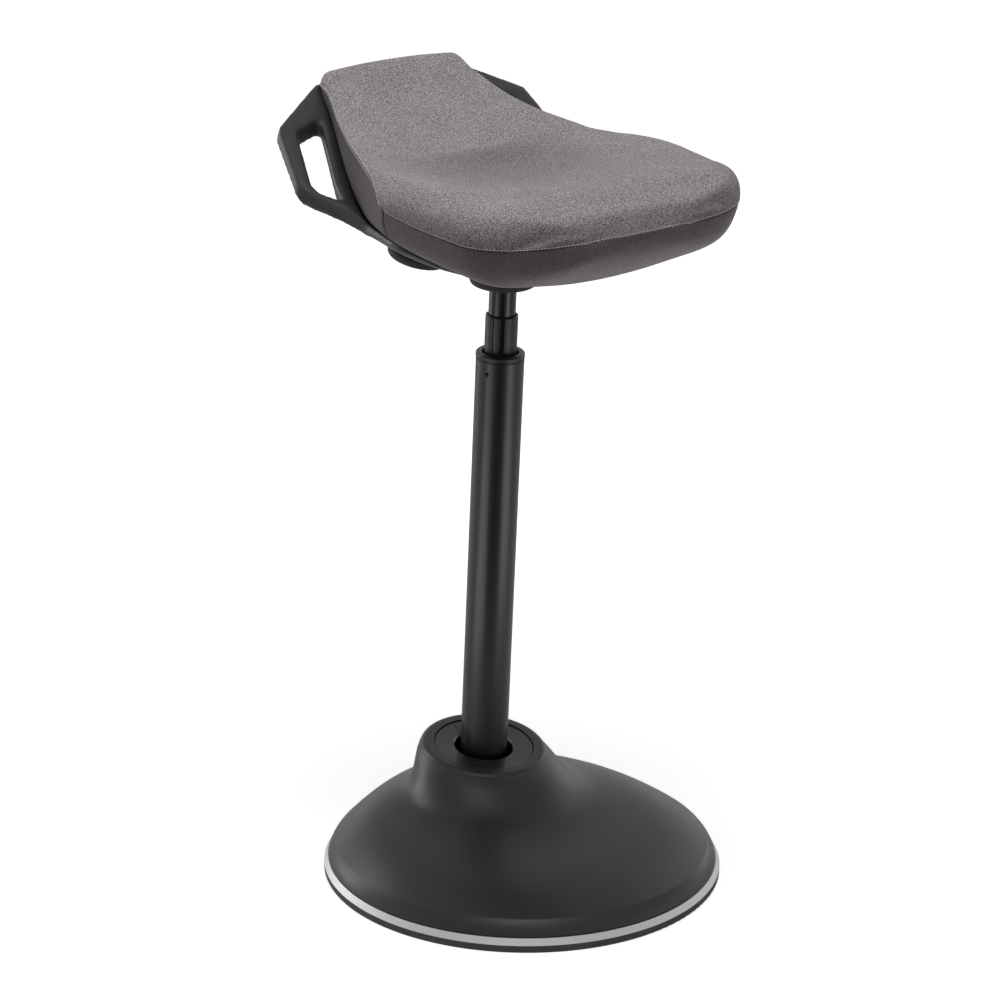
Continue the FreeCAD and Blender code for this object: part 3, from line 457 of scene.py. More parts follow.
# Screws of the guide sleeve and the lever's arm: black oxide, dull and nearly black
BLACK_STEEL = BareMetal("steel_black_oxide", "#303133", 0.45, "#3d3e40", 0.5, 2.0, 0.01, 0.8)
# Sway joint castings: grey iron under thin black paint, rough from the sand
JOINT_IRON = BareMetal("grey_iron_sand_cast_painted", "#2c2c2d", 0.6, "#3c3c3d", 1.6, 1.0, 0.15, 0.5)
# Floor pad: soft dark grey rubber, matt
FOOT_RUBBER = DullBody("rubber_pad_moulded", "#505254", 0.78, "#5c5f62", 0.7)
# Sway bushing and stop: natural rubber filled with carbon black
SWAY_RUBBER = DullBody("natural_rubber_carbon_filled", "#191919", 0.7, "#232323", 0.9)
# Foam that the cover hides
SEAT_FOAM = DullBody("polyurethane_foam_moulded", "#c9c2a8", 0.9, "#d6d0b8", 1.5)
# Studio card: dyed paper, almost without gloss
CARD_PAPER = DullBody("card_dyed_black", "#0d0d0d", 0.95, "#121212", 1.0)
# Seat top: wool-blend melange, mid grey with a little violet in it
TOP_CLOTH = WovenCloth("wool_blend_woven_melange", "#8d868b", 0.92,
                       "#4c464c", "#d0cace", 1.4, 0.8, 0.5, Weave.MELANGE)
# Side and front panels: the same wool blend in a closer weave, so it looks smoother; it is darker than the
# top cloth as painted shade on panels that face away from the overhead light
SHADED_SIDE_CLOTH = WovenCloth("wool_blend_woven_plain_painted_shade", "#756e74", 0.92,
                        "#645d63", "#877f85", 1.2, 1.0, 0.25, Weave.PLAIN)
# Top stitching: polyester thread, pale grey beside the cloth
SEAM_THREAD = SewingThread("polyester_thread_bonded", "#cbc6c9", 0.6, "#f0edef", 0.9)


Dressing = dict[Finish, tuple[str, ...]]


@dataclass
class SubAssembly:
    """Nodes of the solids that belong together.

    Args:
        finishes: What the nodes are made of, with their names.
    """

    finishes: Dressing

    def build(self) -> None:
        """Gives every node its finish."""
        for finish, names in self.finishes.items():
            for name in names:
                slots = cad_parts[name].data.materials
                slots.clear()
                slots.append(finish.material())
                LOG.info("%s: %s", name, finish.name)


def keep(mesh: bmesh.types.BMesh, name: str, finishes: Iterable[Finish]) -> bpy.types.Object:
    """Makes an object of a finished mesh.

    Args:
        mesh: Mesh in metres, in the shared frame; freed here.
        name: Name of the piece.
        finishes: What its faces are made of, by material number.

    Returns:
        The object, linked to the scene.
    """
    data = bpy.data.meshes.new(name)
    mesh.to_mesh(data)
    mesh.free()
    for finish in finishes:
        data.materials.append(finish.material())
    for face in data.polygons:
        face.use_smooth = True
    piece = bpy.data.objects.new(name, data)
    bpy.context.scene.collection.objects.link(piece)
    return piece


@dataclass(frozen=True)
class ColumnFrame:
    """Frame of the leaning column, in which the seat was measured.

    Args:
        lean_deg: Angle that the column leans forward by.
        pivot_y: Place of the sway joint along the floor, in millimetres.
        pivot_z: Height of the sway joint, in millimetres.
    """

    lean_deg: float = 2.7
    pivot_y: float = 69.7
    pivot_z: float = 50.0

    def matrix(self) -> Matrix:
        """Returns the matrix from millimetres in the upright frame to metres in the shared one."""
        turn = Matrix.Rotation(math.radians(self.lean_deg), 4, "X")
        down = Matrix.Translation((0.0, 0.0, -self.pivot_z))
        back = Matrix.Translation((0.0, self.pivot_y, self.pivot_z))
        return Matrix.Diagonal((MM, MM, MM, 1.0)) @ back @ turn @ down


@dataclass(frozen=True)
class SeatRib:
    """One cross-section of the cushion, in millimetres in the column's upright frame.

    Args:
        y: Place along the seat, the front being negative.
        half: Half of the width at the seam.
        seam: Height of the seam.
        crown: Height of the roll beside the dish.
        dish: Height of the dish in the middle.
        edge_half: Half of the width at the lower edge.
        edge: Height of the lower edge.
        belly: Height of the underside in the middle.
    """

    y: float
    half: float
    seam: float
    crown: float
    dish: float
    edge_half: float
    edge: float
    belly: float


SEAT_RIBS = (
    SeatRib(-203, 66, 738.5, 750, 751.5, 52, 725, 722),
    SeatRib(-196, 104, 738.5, 760, 762, 84, 715, 711),
    SeatRib(-181, 146, 738.5, 768, 767, 120, 703, 696),
    SeatRib(-158, 169, 738.5, 773, 771, 143, 698, 681),
    SeatRib(-122, 174, 738.5, 775, 770, 149, 700, 669),
    SeatRib(-60, 174, 738.5, 775, 757, 156, 705, 662),
    SeatRib(-15, 169, 741.5, 771, 751, 160, 710, 661),
    SeatRib(12, 158, 756, 768, 749, 152, 709, 662),
    SeatRib(56, 141, 765, 768, 751, 138, 709, 664),
    SeatRib(108, 121, 773, 776, 766, 119, 733, 684),
    SeatRib(147, 106, 785, 789, 785, 104, 762, 718),
    SeatRib(180, 94, 801, 806, 805, 92, 785, 756),
    SeatRib(198, 90, 805, 818, 820, 86, 794, 778),
    SeatRib(204.5, 83, 806, 815, 817.5, 77, 797, 787),
)

# Shares of the end sections' height on the rows that close the nose and the back
END_SHARES = (0.0, 0.15, 0.4, 0.75)
# Distance within which two vertices are one
WELD_MM = 0.01


def arc_through(first: Flat, middle: Flat, last: Flat, shares: Iterable[float]) -> list[Flat]:
    """Points on the arc through three points.

    Args:
        first: Start of the arc.
        middle: A point on the arc.
        last: End of the arc.
        shares: Shares of the arc's length at which the points lie.

    Returns:
        The points, in the order of the shares.
    """
    (ax, ay), (bx, by), (cx, cy) = first, middle, last
    twice = 2 * (ax * (by - cy) + bx * (cy - ay) + cx * (ay - by))
    sa, sb, sc = ax * ax + ay * ay, bx * bx + by * by, cx * cx + cy * cy
    ox = (sa * (by - cy) + sb * (cy - ay) + sc * (ay - by)) / twice
    oy = (sa * (cx - bx) + sb * (ax - cx) + sc * (bx - ax)) / twice
    radius = math.hypot(ax - ox, ay - oy)
    start = math.atan2(ay - oy, ax - ox)
    half_way = (math.atan2(by - oy, bx - ox) - start) % math.tau
    sweep = (math.atan2(cy - oy, cx - ox) - start) % math.tau
    if half_way > sweep:
        sweep -= math.tau
    turns = [start + share * sweep for share in shares]
    return [(ox + radius * math.cos(turn), oy + radius * math.sin(turn)) for turn in turns]


def ease(mesh: bmesh.types.BMesh, verts: list[bmesh.types.BMVert], rounds: int) -> None:
    """Smooths vertices towards their neighbours.

    Args:
        mesh: Mesh that holds them.
        verts: The vertices.
        rounds: How many times each moves half of the way.
    """
    for _ in range(rounds):
        bmesh.ops.smooth_vert(mesh, verts=verts, factor=0.5,
                              use_axis_x=True, use_axis_y=True, use_axis_z=True)


@dataclass
class SeatCushion:
    """Upholstered cushion: a dished top, rolled sides and a belly in the shell.

    Args:
        column: Frame that the cushion's sizes are in.
        roll_steps: Faces across each roll and each side; they lie closer beside the seam.
        wide_steps: Faces across the dish and across the belly.
        close_power: How much closer they lie there.
        row_mm: Spacing of the rows along the seat.
        beside_mm: Distance of the rows beside the upright seam and beside the valley.
        crown_in_mm: Least distance of the crown inside the seam.
        crown_in_share: Share of the crown's height above the seam that it lies further inside.
        roll_bulge: Place of the roll's middle between the seam and the crown, as shares across and up.
        side_bulge: Place of the side's middle between the lower edge and the seam, as shares across and up.
        nose_mm: How far the nose and the back swell past the end sections.
        tuck_mm: How far the sides and the belly stay inside the shell.
        groove_mm: Depth of the seam's groove along the sides.
        joint_groove_mm: Depth of the upright seam's groove.
        nose_groove_mm: Depth of the groove across the nose and the back.
        joint_y: Place of the upright seam between the side panel and the front panel.
        crease_y: Place of the valley where the seat turns up into its back.
        crease_half: Half of the valley's length across the seat.
        crease_mm: How far the cloth swells in front of the valley and behind it.
        crease_width: Distance from the valley over which each swell rises.
        swell_width: Distance from the valley over which each swell fades away.
        painted_shade_depth: Most that the painted shade in front of the valley darkens the cloth.
        painted_shade_half: Half of the width across the seat over which that shade is painted.
        painted_shade_mm: Distances in front of the valley over which the painted shade grows in and fades
            away again.
        edge_mm: How far the lower edge is filled out before it is rounded.
        edge_reach: Steps from the lower edge over which that fades away.
        edge_rounds: Rounds of smoothing along the lower edge.
        nose_top: Rows of the top that are smoothed from the nose on, and the rounds of smoothing.
        nose_belly: The same for the front panel and the belly.
        swell_mm: Most that the filling may push the cloth out.
        fill_frames: Frames of the cloth simulation.
        pressure: Pressure of the filling.
        stretch_stiffness: Stiffness of the cloth in its plane.
        bend_stiffness: Stiffness of the cloth against bending.
        pocket_mm: Depth of the hollow in the belly, above the hub, for the gas spring's end and the lever.
        pocket_reach: Distances from the column's axis within which the hollow is full and at which it ends.
    """

    column: ColumnFrame
    roll_steps: int = 9
    wide_steps: int = 26
    close_power: float = 1.7
    row_mm: float = 6.0
    beside_mm: Flat = (1.3, 2.4)
    crown_in_mm: float = 5.5
    crown_in_share: float = 0.4
    roll_bulge: Flat = (0.25, 0.70)
    side_bulge: Flat = (0.72, 0.42)
    nose_mm: float = 3.0
    tuck_mm: float = 0.5
    groove_mm: float = 1.6
    joint_groove_mm: float = 3.2
    nose_groove_mm: float = 0.9
    joint_y: float = -19.0
    crease_y: float = 72.0
    crease_half: float = 84.0
    crease_mm: Flat = (6.0, 3.5)
    crease_width: Flat = (22.0, 11.0)
    swell_width: Flat = (75.0, 45.0)
    painted_shade_depth: float = 0.34
    painted_shade_half: float = 125.0
    painted_shade_mm: Flat = (16.0, 150.0)
    edge_mm: float = 3.0
    edge_reach: int = 5
    edge_rounds: int = 6
    nose_top: tuple[int, int] = (9, 3)
    nose_belly: tuple[int, int] = (21, 14)
    swell_mm: float = 2.5
    fill_frames: int = 20
    pressure: float = 4.0
    stretch_stiffness: float = 40.0
    bend_stiffness: float = 4.0
    pocket_mm: float = 17.0
    pocket_reach: Flat = (40.0, 78.0)

    @property
    def half_round(self) -> int:
        """Returns the number of faces from the seam of one side over the top to the other's."""
        return 2 * self.roll_steps + self.wide_steps

    def build(self) -> bpy.types.Object:
        """Returns the cushion, filled, seamed and dressed."""
        # The side panels take the darker cloth, whose colour is painted shade for faces away from the
        # overhead light.
        piece = keep(self.wrap(), "seat_cushion", [TOP_CLOTH, SHADED_SIDE_CLOTH])
        self.fill(piece)
        self.round_edge(piece)
        self.sew(piece)
        smoother = piece.modifiers.new("soft_cloth", "SUBSURF")
        smoother.levels = smoother.render_levels = 1
        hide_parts("seat_cover", "seat_foam")
        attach(piece, "seat")
        LOG.info("seat_cushion: %d faces", len(piece.data.polygons))
        return piece

    def rib_at(self, place: float) -> SeatRib:
        """Reads a section between two ribs off a smooth curve through them.

        Args:
            place: Number of the rib, with a share towards the next.

        Returns:
            The section.
        """
        low = min(int(place), len(SEAT_RIBS) - 2)
        share = place - low
        picked = [SEAT_RIBS[max(0, min(len(SEAT_RIBS) - 1, low + k))] for k in (-1, 0, 1, 2)]
        gaps = [math.sqrt(math.hypot(b.y - a.y, b.half - a.half)) for a, b in zip(picked, picked[1:])]
        values = []
        for name in (f.name for f in fields(SeatRib)):
            before, start, end, after = (getattr(rib, name) for rib in picked)
            slope = (end - start) / gaps[1]
            first = slope if gaps[0] == 0 else self.tangent(start - before, end - start, gaps[0], gaps[1])
            last = slope if gaps[2] == 0 else self.tangent(end - start, after - end, gaps[1], gaps[2])
            s2, s3 = share * share, share ** 3
            values.append((2 * s3 - 3 * s2 + 1) * start + (s3 - 2 * s2 + share) * first * gaps[1]
                          + (3 * s2 - 2 * s3) * end + (s3 - s2) * last * gaps[1])
        return SeatRib(*values)

    @staticmethod
    def tangent(step_in: float, step_out: float, gap_in: float, gap_out: float) -> float:
        """Returns the slope at a rib from the steps before and after it."""
        return (step_in / gap_in * gap_out + step_out / gap_out * gap_in) / (gap_in + gap_out)

    def places(self) -> list[float]:
        """Returns the rows' places along the ribs, with close ones beside the upright seam and the valley."""
        rows: list[float] = []
        for number, (near, far) in enumerate(zip(SEAT_RIBS, SEAT_RIBS[1:])):
            steps = max(3, round(math.hypot(far.y - near.y, far.half - near.half) / self.row_mm))
            rows.extend(number + k / steps for k in range(steps))
        rows.append(len(SEAT_RIBS) - 1.0)
        for y, beside_mm in zip((self.joint_y, self.crease_y), self.beside_mm):
            low, high = 0.0, len(SEAT_RIBS) - 1.0
            while high - low > 1e-6:
                half_way = (low + high) / 2
                low, high = (half_way, high) if self.rib_at(half_way).y < y else (low, half_way)
            beside = beside_mm / (SEAT_RIBS[int(low) + 1].y - SEAT_RIBS[int(low)].y)
            rows = [r for r in rows if abs(r - low) > 2 * beside] + [low - beside, low, low + beside]
        return sorted(rows)

    def close_shares(self) -> list[float]:
        """Returns shares along a roll or side, counted from the seam, that lie closer beside the seam."""
        return [(k / self.roll_steps) ** self.close_power for k in range(self.roll_steps + 1)]

    def outline(self, rib: SeatRib) -> list[Flat]:
        """Goes once round a section, from the left seam over the top and back under the belly.

        Args:
            rib: The section.

        Returns:
            Points across and up, the last one before the first again.
        """
        seam = (rib.half, rib.seam)
        crown = (rib.half - self.crown_in_mm - self.crown_in_share * (rib.crown - rib.seam), rib.crown)
        edge = (rib.edge_half - self.tuck_mm, rib.edge)
        roll = tuple(a + share * (b - a) for a, b, share in zip(seam, crown, self.roll_bulge))
        side = tuple(a + share * (b - a) for a, b, share in zip(edge, seam, self.side_bulge))
        close = self.close_shares()
        wide = [k / self.wide_steps for k in range(self.wide_steps + 1)]
        over = arc_through(seam, roll, crown, close)
        dish = arc_through((-crown[0], crown[1]), (0.0, rib.dish), crown, wide)
        under = arc_through(seam, side, edge, close)
        belly = arc_through(edge, (0.0, rib.belly + self.tuck_mm), (-edge[0], edge[1]), wide)
        left_over = [(-x, z) for x, z in over]
        left_under = [(-x, z) for x, z in under]
        return left_over[:-1] + dish + over[-2::-1] + under[1:] + belly[1:-1] + left_under[:0:-1]

    def wrap(self) -> bmesh.types.BMesh:
        """Wraps a grid round the sections and closes it along the seam at both ends.

        Returns:
            The closed mesh, its side panels with material number 1.
        """
        rows = [(self.rib_at(p), 1.0, 0.0) for p in self.places()]
        nose, back = rows[0][0], rows[-1][0]
        front = [(nose, s, -self.nose_mm * math.sqrt(1 - s * s)) for s in END_SHARES]
        rear = [(back, s, self.nose_mm * math.sqrt(1 - s * s)) for s in reversed(END_SHARES)]
        rows = front + rows + rear
        around = 2 * self.half_round
        mesh = bmesh.new()
        bmesh.ops.create_grid(mesh, x_segments=around, y_segments=len(rows) - 1, size=1.0)
        outlines = [self.shrink(self.outline(rib), rib, s) for rib, s, _ in rows]
        to_frame = self.column.matrix()
        panel = mesh.verts.layers.int.new("around")
        row_of = mesh.verts.layers.int.new("row")
        for vert in mesh.verts:
            column = round((vert.co.x + 1) / 2 * around)
            row = round((vert.co.y + 1) / 2 * (len(rows) - 1))
            x, z = outlines[row][column % around]
            rib, _, past = rows[row]
            y = rib.y + past * (1 - (x / rib.half) ** 2)
            if column > around / 2:
                z += self.pocket(x, y)
            vert.co = to_frame @ Vector((x, y, z))
            vert[panel] = column % around
            vert[row_of] = row
        for face in mesh.faces:
            mean = sum(v[panel] if v[panel] or max(w[panel] for w in face.verts) < around / 2 else around
                       for v in face.verts) / len(face.verts)
            face.material_index = int(mean > around / 2)
        bmesh.ops.remove_doubles(mesh, verts=mesh.verts, dist=WELD_MM * MM)
        bmesh.ops.recalc_face_normals(mesh, faces=mesh.faces)
        return mesh

    def pocket(self, x: float, y: float) -> float:
        """Returns how far the belly is hollowed out at a place above the hub."""
        near, far = self.pocket_reach
        share = min(1.0, max(0.0, (far - math.hypot(x, y)) / (far - near)))
        return self.pocket_mm * share * share * (3 - 2 * share)

    @staticmethod
    def shrink(points: list[Flat], rib: SeatRib, share: float) -> list[Flat]:
        """Draws a section's outline together on the seam's height.

        Args:
            points: Outline of the section.
            rib: The section.
            share: Share of the height that is left, one for all of it.

        Returns:
            The outline, with its upper and lower points at the same places across.
        """
        half = len(points) // 2
        drawn = []
        for number, (x, z) in enumerate(points):
            step = number if number <= half else 2 * half - number
            across = -rib.half * math.cos(math.pi * step / half)
            drawn.append((share * x + (1 - share) * across, rib.seam + share * (z - rib.seam)))
        return drawn

    def seam_rows(self) -> tuple[int, int]:
        """Returns the row of the upright seam and the last row."""
        ys = [self.rib_at(place).y for place in self.places()]
        joint = min(range(len(ys)), key=lambda k: abs(ys[k] - self.joint_y))
        return len(END_SHARES) + joint, len(ys) + 2 * len(END_SHARES) - 1

    def on_seam(self, around: int, row: int, joint_row: int, last_row: int) -> bool:
        """Tells whether a vertex lies on a seam.

        Args:
            around: Number of the vertex round its section.
            row: Number of its row.
            joint_row: Row of the upright seam.
            last_row: Number of the last row.

        Returns:
            True for a vertex on the seam round the seat or on an upright seam.
        """
        half = self.half_round
        on_side = half <= around <= half + self.roll_steps or around >= 2 * half - self.roll_steps
        return around in (0, half) or row in (0, last_row) or (row == joint_row and on_side)

    def fill(self, piece: bpy.types.Object) -> None:
        """Lets the filling push the cloth out between its seams, for a few frames of a cloth simulation.

        Args:
            piece: The wrapped cushion.
        """
        data = piece.data
        start = [v.co.copy() for v in data.vertices]
        held = piece.vertex_groups.new(name="sewn")
        half = self.half_round
        rows = [mark.value for mark in data.attributes["row"].data]
        for number, mark in enumerate(data.attributes["around"].data):
            if mark.value >= half or mark.value == 0 or rows[number] in (0, max(rows)):
                held.add([number], 1.0, "REPLACE")
        cloth = piece.modifiers.new("filling", "CLOTH")
        settings = cloth.settings
        settings.vertex_group_mass = "sewn"
        settings.use_pressure = True
        settings.uniform_pressure_force = self.pressure
        settings.effector_weights.gravity = 0.0
        settings.tension_stiffness = settings.compression_stiffness = self.stretch_stiffness
        settings.bending_stiffness = self.bend_stiffness
        scene = bpy.context.scene
        for number in range(1, self.fill_frames + 1):
            scene.frame_set(number)
        shaped = piece.evaluated_get(bpy.context.evaluated_depsgraph_get())
        moved = [v.co.copy() for v in shaped.data.vertices]
        piece.modifiers.remove(cloth)
        piece.vertex_groups.remove(held)
        scene.frame_set(1)
        for vert, old, new in zip(data.vertices, start, moved):
            step = new - old
            vert.co = old + step * min(1.0, self.swell_mm * MM / max(step.length, 1e-9))

    def round_edge(self, piece: bpy.types.Object) -> None:
        """Fills out the lower edge and rounds it into the belly.

        Args:
            piece: The filled cushion.
        """
        mesh = bmesh.new()
        mesh.from_mesh(piece.data)
        mesh.normal_update()
        panel = mesh.verts.layers.int["around"]
        half = self.half_round
        edges = (half + self.roll_steps, 2 * half - self.roll_steps)
        near = []
        for vert in mesh.verts:
            away = min(abs(vert[panel] - e) for e in edges)
            if away <= self.edge_reach:
                near.append(vert)
                vert.co += vert.normal * (self.edge_mm * MM * (1 - away / (self.edge_reach + 1)))
        ease(mesh, near, self.edge_rounds)
        mesh.to_mesh(piece.data)
        mesh.free()

    def swell_at(self, x: float, y: float) -> float:
        """Finds how far the cloth swells beside the valley.

        Args:
            x: Place across the seat.
            y: Place along the seat.

        Returns:
            Height of the swell there.
        """
        away = y - self.crease_y
        behind = int(away > 0)
        reach = max(0.0, 1 - (x / self.crease_half) ** 2)
        rise = 1 - math.exp(-abs(away) / self.crease_width[behind])
        fade = math.exp(-(away / self.swell_width[behind]) ** 2)
        return self.crease_mm[behind] * reach * rise * fade

    def nap_at(self, x: float, y: float) -> float:
        """Finds how much painted shade darkens the cloth in front of the valley.

        Args:
            x: Place across the seat.
            y: Place along the seat.

        Returns:
            Share of the cloth's brightness that is lost there.
        """
        away = min(0.0, y - self.crease_y)
        wide = max(0.0, 1 - (x / self.painted_shade_half) ** 2)
        turned = 1 - math.exp(-(away / self.painted_shade_mm[0]) ** 2)
        return self.painted_shade_depth * wide * turned * math.exp(-(away / self.painted_shade_mm[1]) ** 2)

    def sew(self, piece: bpy.types.Object) -> None:
        """Swells the cloth beside the valley, paints shade on it in front of the valley and presses the seams
        in.

        Args:
            piece: The filled cushion.
        """
        mesh = bmesh.new()
        mesh.from_mesh(piece.data)
        mesh.normal_update()
        panel, row_of = mesh.verts.layers.int["around"], mesh.verts.layers.int["row"]
        crease, painted_shade = mesh.edges.layers.float.new("crease_edge"), mesh.verts.layers.float.new("painted_shade")
        joint_row, last_row = self.seam_rows()
        to_frame = self.column.matrix()
        to_seat = to_frame.inverted()
        half = self.half_round
        widest, nose = max(rib.half for rib in SEAT_RIBS), SEAT_RIBS[0].y
        outward: dict[bmesh.types.BMVert, Vector] = {}
        for vert in mesh.verts:
            spot = to_seat @ vert.co
            if self.on_seam(vert[panel], vert[row_of], joint_row, last_row):
                outward[vert] = Vector((spot.x / widest ** 2, spot.y / nose ** 2, 0.0)).normalized()
            elif vert[panel] < half:
                # Painted shade in front of the valley, kept on the vertex for the cloth's colour.
                vert[painted_shade] = self.nap_at(spot.x, spot.y)
                spot.z += self.swell_at(spot.x, spot.y)
                vert.co = to_frame @ spot
        free = [v for v in mesh.verts if v not in outward]
        rows, rounds = self.nose_top
        ease(mesh, [v for v in free if v[row_of] < rows and v[panel] < half], rounds)
        rows, rounds = self.nose_belly
        ease(mesh, [v for v in free if v[row_of] < rows and v[panel] > half], rounds)
        for vert, way in outward.items():
            depth = self.groove_mm
            if vert[row_of] in (0, last_row):
                depth = self.nose_groove_mm
            elif vert[row_of] == joint_row and vert[panel] not in (0, half):
                depth = self.joint_groove_mm
            vert.co -= way * depth * MM
        for edge in mesh.edges:
            if all(vert in outward for vert in edge.verts):
                edge[crease] = 1.0
        mesh.to_mesh(piece.data)
        mesh.free()


@dataclass
class SeamStitching:
    """Rows of stitches beside and along the cushion's seams.

    Args:
        cushion: The cushion's sizes.
        pitch_mm: Length from one stitch to the next.
        stitch_mm: Length of thread that shows of each stitch.
        thick_mm: Thickness of the thread, drawn twice as thick as the real one so that it shows.
        twin_mm: Distance of the twin rows from the lips of the seam between top and side.
        start_mm: Distance behind the upright seam at which the twin rows start.
        reach_mm: Distance from which a stitch is let down on to the cloth.
        lift_share: Height of the thread's middle above the cloth, as a share of its thickness.
    """

    cushion: SeatCushion
    pitch_mm: float = 3.6
    stitch_mm: float = 3.0
    thick_mm: float = 1.0
    twin_mm: float = 0.7
    start_mm: float = 4.0
    reach_mm: float = 12.0
    lift_share: float = 0.2

    def build(self, piece: bpy.types.Object) -> bpy.types.Object:
        """Sews the rows on to the finished cushion.

        Args:
            piece: The cushion.

        Returns:
            One object with all the stitches.
        """
        mesh = bmesh.new()
        bpy.context.view_layer.update()
        face = BVHTree.FromObject(piece, bpy.context.evaluated_depsgraph_get())
        for path in self.paths(piece):
            self.run(mesh, face, path)
        stitches = keep(mesh, "seat_stitching", [SEAM_THREAD])
        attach(stitches, "seat")
        LOG.info("seat_stitching: %d faces", len(stitches.data.polygons))
        return stitches

    def paths(self, piece: bpy.types.Object) -> list[list[tuple[Vector, Vector]]]:
        """Finds where the rows of stitches run.

        Args:
            piece: The cushion.

        Returns:
            For each row, its points with the outward directions there.
        """
        half, joint_y, ends = self.cushion.half_round, self.cushion.joint_y, len(END_SHARES)
        to_seat = self.cushion.column.matrix().inverted()
        marks = (piece.data.attributes[name].data for name in ("around", "row"))
        spots = {(around.value, row.value): (vert.co.copy(), vert.normal.copy())
                 for vert, around, row in zip(piece.data.vertices, *marks)}
        rows = max(row for _, row in spots)
        nose = [spots[(c, 1)] for c in range(2, half - 1)]
        sides = [[spots[(c, r)] for r in range(ends, rows - ends + 1)] for c in (1, half - 1)]
        left, right = ([s for s in side if (to_seat @ s[0]).y < joint_y] for side in sides)
        paths = [left[::-1] + nose + right]
        for edge, step in ((0, 1), (0, -1), (half, -1), (half, 1)):
            behind = [r for r in range(ends + 1, rows - ends)
                      if (to_seat @ spots[(edge, r)][0]).y > joint_y + self.start_mm]
            paths.append([self.beside(spots, edge, step, r, 2 * half) for r in behind])
        return paths

    def beside(self, spots: dict, edge: int, step: int, row: int, around: int) -> tuple[Vector, Vector]:
        """Walks away from the seam along a row of the cushion.

        Args:
            spots: Points and outward directions by place round the section and row.
            edge: Place of the seam round the section.
            step: One or minus one, the way to walk.
            row: The row.
            around: Number of places round a section.

        Returns:
            The point at the twin rows' distance from the groove's lip, with its outward direction.
        """
        left = self.twin_mm * MM
        place = edge + step
        here, outward = spots[(place % around, row)]
        while True:
            place += step
            there, outward = spots[(place % around, row)]
            length = (there - here).length
            if length >= left:
                return here + (there - here) * (left / length), outward
            left -= length
            here = there

    def run(self, mesh: bmesh.types.BMesh, face: BVHTree, path: list[tuple[Vector, Vector]]) -> None:
        """Lays stitches of equal length along a row.

        Args:
            mesh: Mesh that takes the stitches.
            face: The cushion's finished face.
            path: Points of the row with the outward directions there.
        """
        travelled = 0.0
        next_at = self.pitch_mm * MM / 2
        for (near, up), (far, _) in zip(path, path[1:]):
            length = (far - near).length
            while length > 0 and next_at <= travelled + length:
                along = (far - near).normalized()
                spot = near + along * (next_at - travelled)
                hit, outward, _, _ = face.ray_cast(spot + up * self.reach_mm * MM, -up)
                next_at += self.pitch_mm * MM
                if hit is None:
                    continue
                across = outward.cross(along).normalized()
                turn = Matrix((along, across, along.cross(across))).transposed().to_4x4()
                size = Matrix.Diagonal((self.stitch_mm * MM, self.thick_mm * MM, self.thick_mm * MM, 1.0))
                lift = Matrix.Translation(hit + outward * (self.lift_share * self.thick_mm * MM))
                bmesh.ops.create_icosphere(mesh, subdivisions=1, radius=0.5, matrix=lift @ turn @ size)
            travelled += length


@dataclass
class SeatFrame(SubAssembly):
    """Moulded shell with its hand loops, the pan in the foam, the hub and the release lever.

    Args:
        finishes: What the nodes are made of, with their names.
        join_mm: Distance within which two corners of the shell are one.
        cell_mm: Size of the cells in which the shell's skin is drawn anew.
        soften_steps: Rounds of smoothing that give its edges the mould's radius.
    """

    finishes: Dressing = field(default_factory=lambda: {
        SHELL_PLASTIC: ("seat_shell", "seat_pan"),
        HUB_PLASTIC: ("hub_housing", "lever_paddle"),
        FASTENER_STEEL: ("hub_bolts", "lever_pin", "release_pin"),
        BLACK_STEEL: ("lever_arm",),
        SEAT_FOAM: ("seat_foam",),
        SHADED_SIDE_CLOTH: ("seat_cover",),
    })
    join_mm: float = 0.001
    cell_mm: float = 1.8
    soften_steps: int = 40

    def build(self) -> None:
        """Dresses the nodes and rounds the shell."""
        super().build()
        self.moulding()

    def moulding(self) -> None:
        """Draws the shell's skin anew from a copy, with the radii of its mould on every edge."""
        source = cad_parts["seat_shell"]
        mesh = bmesh.new()
        mesh.from_mesh(source.data)
        bmesh.ops.transform(mesh, matrix=source.matrix_world, verts=mesh.verts)
        bmesh.ops.remove_doubles(mesh, verts=mesh.verts, dist=self.join_mm * MM)
        piece = keep(mesh, "shell_moulding", [SHELL_PLASTIC])
        skin = piece.modifiers.new("skin", "REMESH")
        skin.mode = "VOXEL"
        skin.voxel_size = self.cell_mm * MM
        skin.use_smooth_shade = True
        radii = piece.modifiers.new("radii", "SMOOTH")
        radii.factor = 0.5
        radii.iterations = self.soften_steps
        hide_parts("seat_shell")
        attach(piece, "seat")
        LOG.info("shell_moulding: skin in cells of %.1f mm", self.cell_mm)


@dataclass
class LiftColumn(SubAssembly):
    """Leaning tube with its guide sleeve, cap, bearing and gas spring.

    Args:
        finishes: What the nodes are made of, with their names.
    """

    finishes: Dressing = field(default_factory=lambda: {
        COLUMN_PAINT: ("column_tube", "column_end_plate"),
        SPRING_PAINT: ("gas_cylinder",),
        GUIDE_PLASTIC: ("guide_bushing", "column_cap", "cylinder_gland", "piston_head"),
        FASTENER_STEEL: ("thrust_race_lower", "thrust_balls", "thrust_race_upper", "piston_rod", "rod_clip"),
        BLACK_STEEL: ("guide_screws",),
        SWAY_RUBBER: ("bump_stop",),
    })


@dataclass
class RoundFoot(SubAssembly):
    """Round foot: rubber pad, plated plate, moulded cover with its collar, and the sway joint inside.

    Args:
        finishes: What the nodes are made of, with their names.
    """

    finishes: Dressing = field(default_factory=lambda: {
        FOOT_RUBBER: ("foot_pad",),
        PLATE_METAL: ("base_plate",),
        COVER_PLASTIC: ("base_cover",),
        COLLAR_PLASTIC: ("neck_collar",),
        SWAY_RUBBER: ("rubber_bushing",),
        JOINT_IRON: ("bushing_cup", "clamp_ring", "column_socket"),
        FASTENER_STEEL: ("cover_screws", "cup_bolts", "clamp_screws"),
    })


class Sees(Enum):
    """Surfaces that a lamp lights."""

    ALL = "all"
    MATT = "matt"
    GLOSS = "gloss"


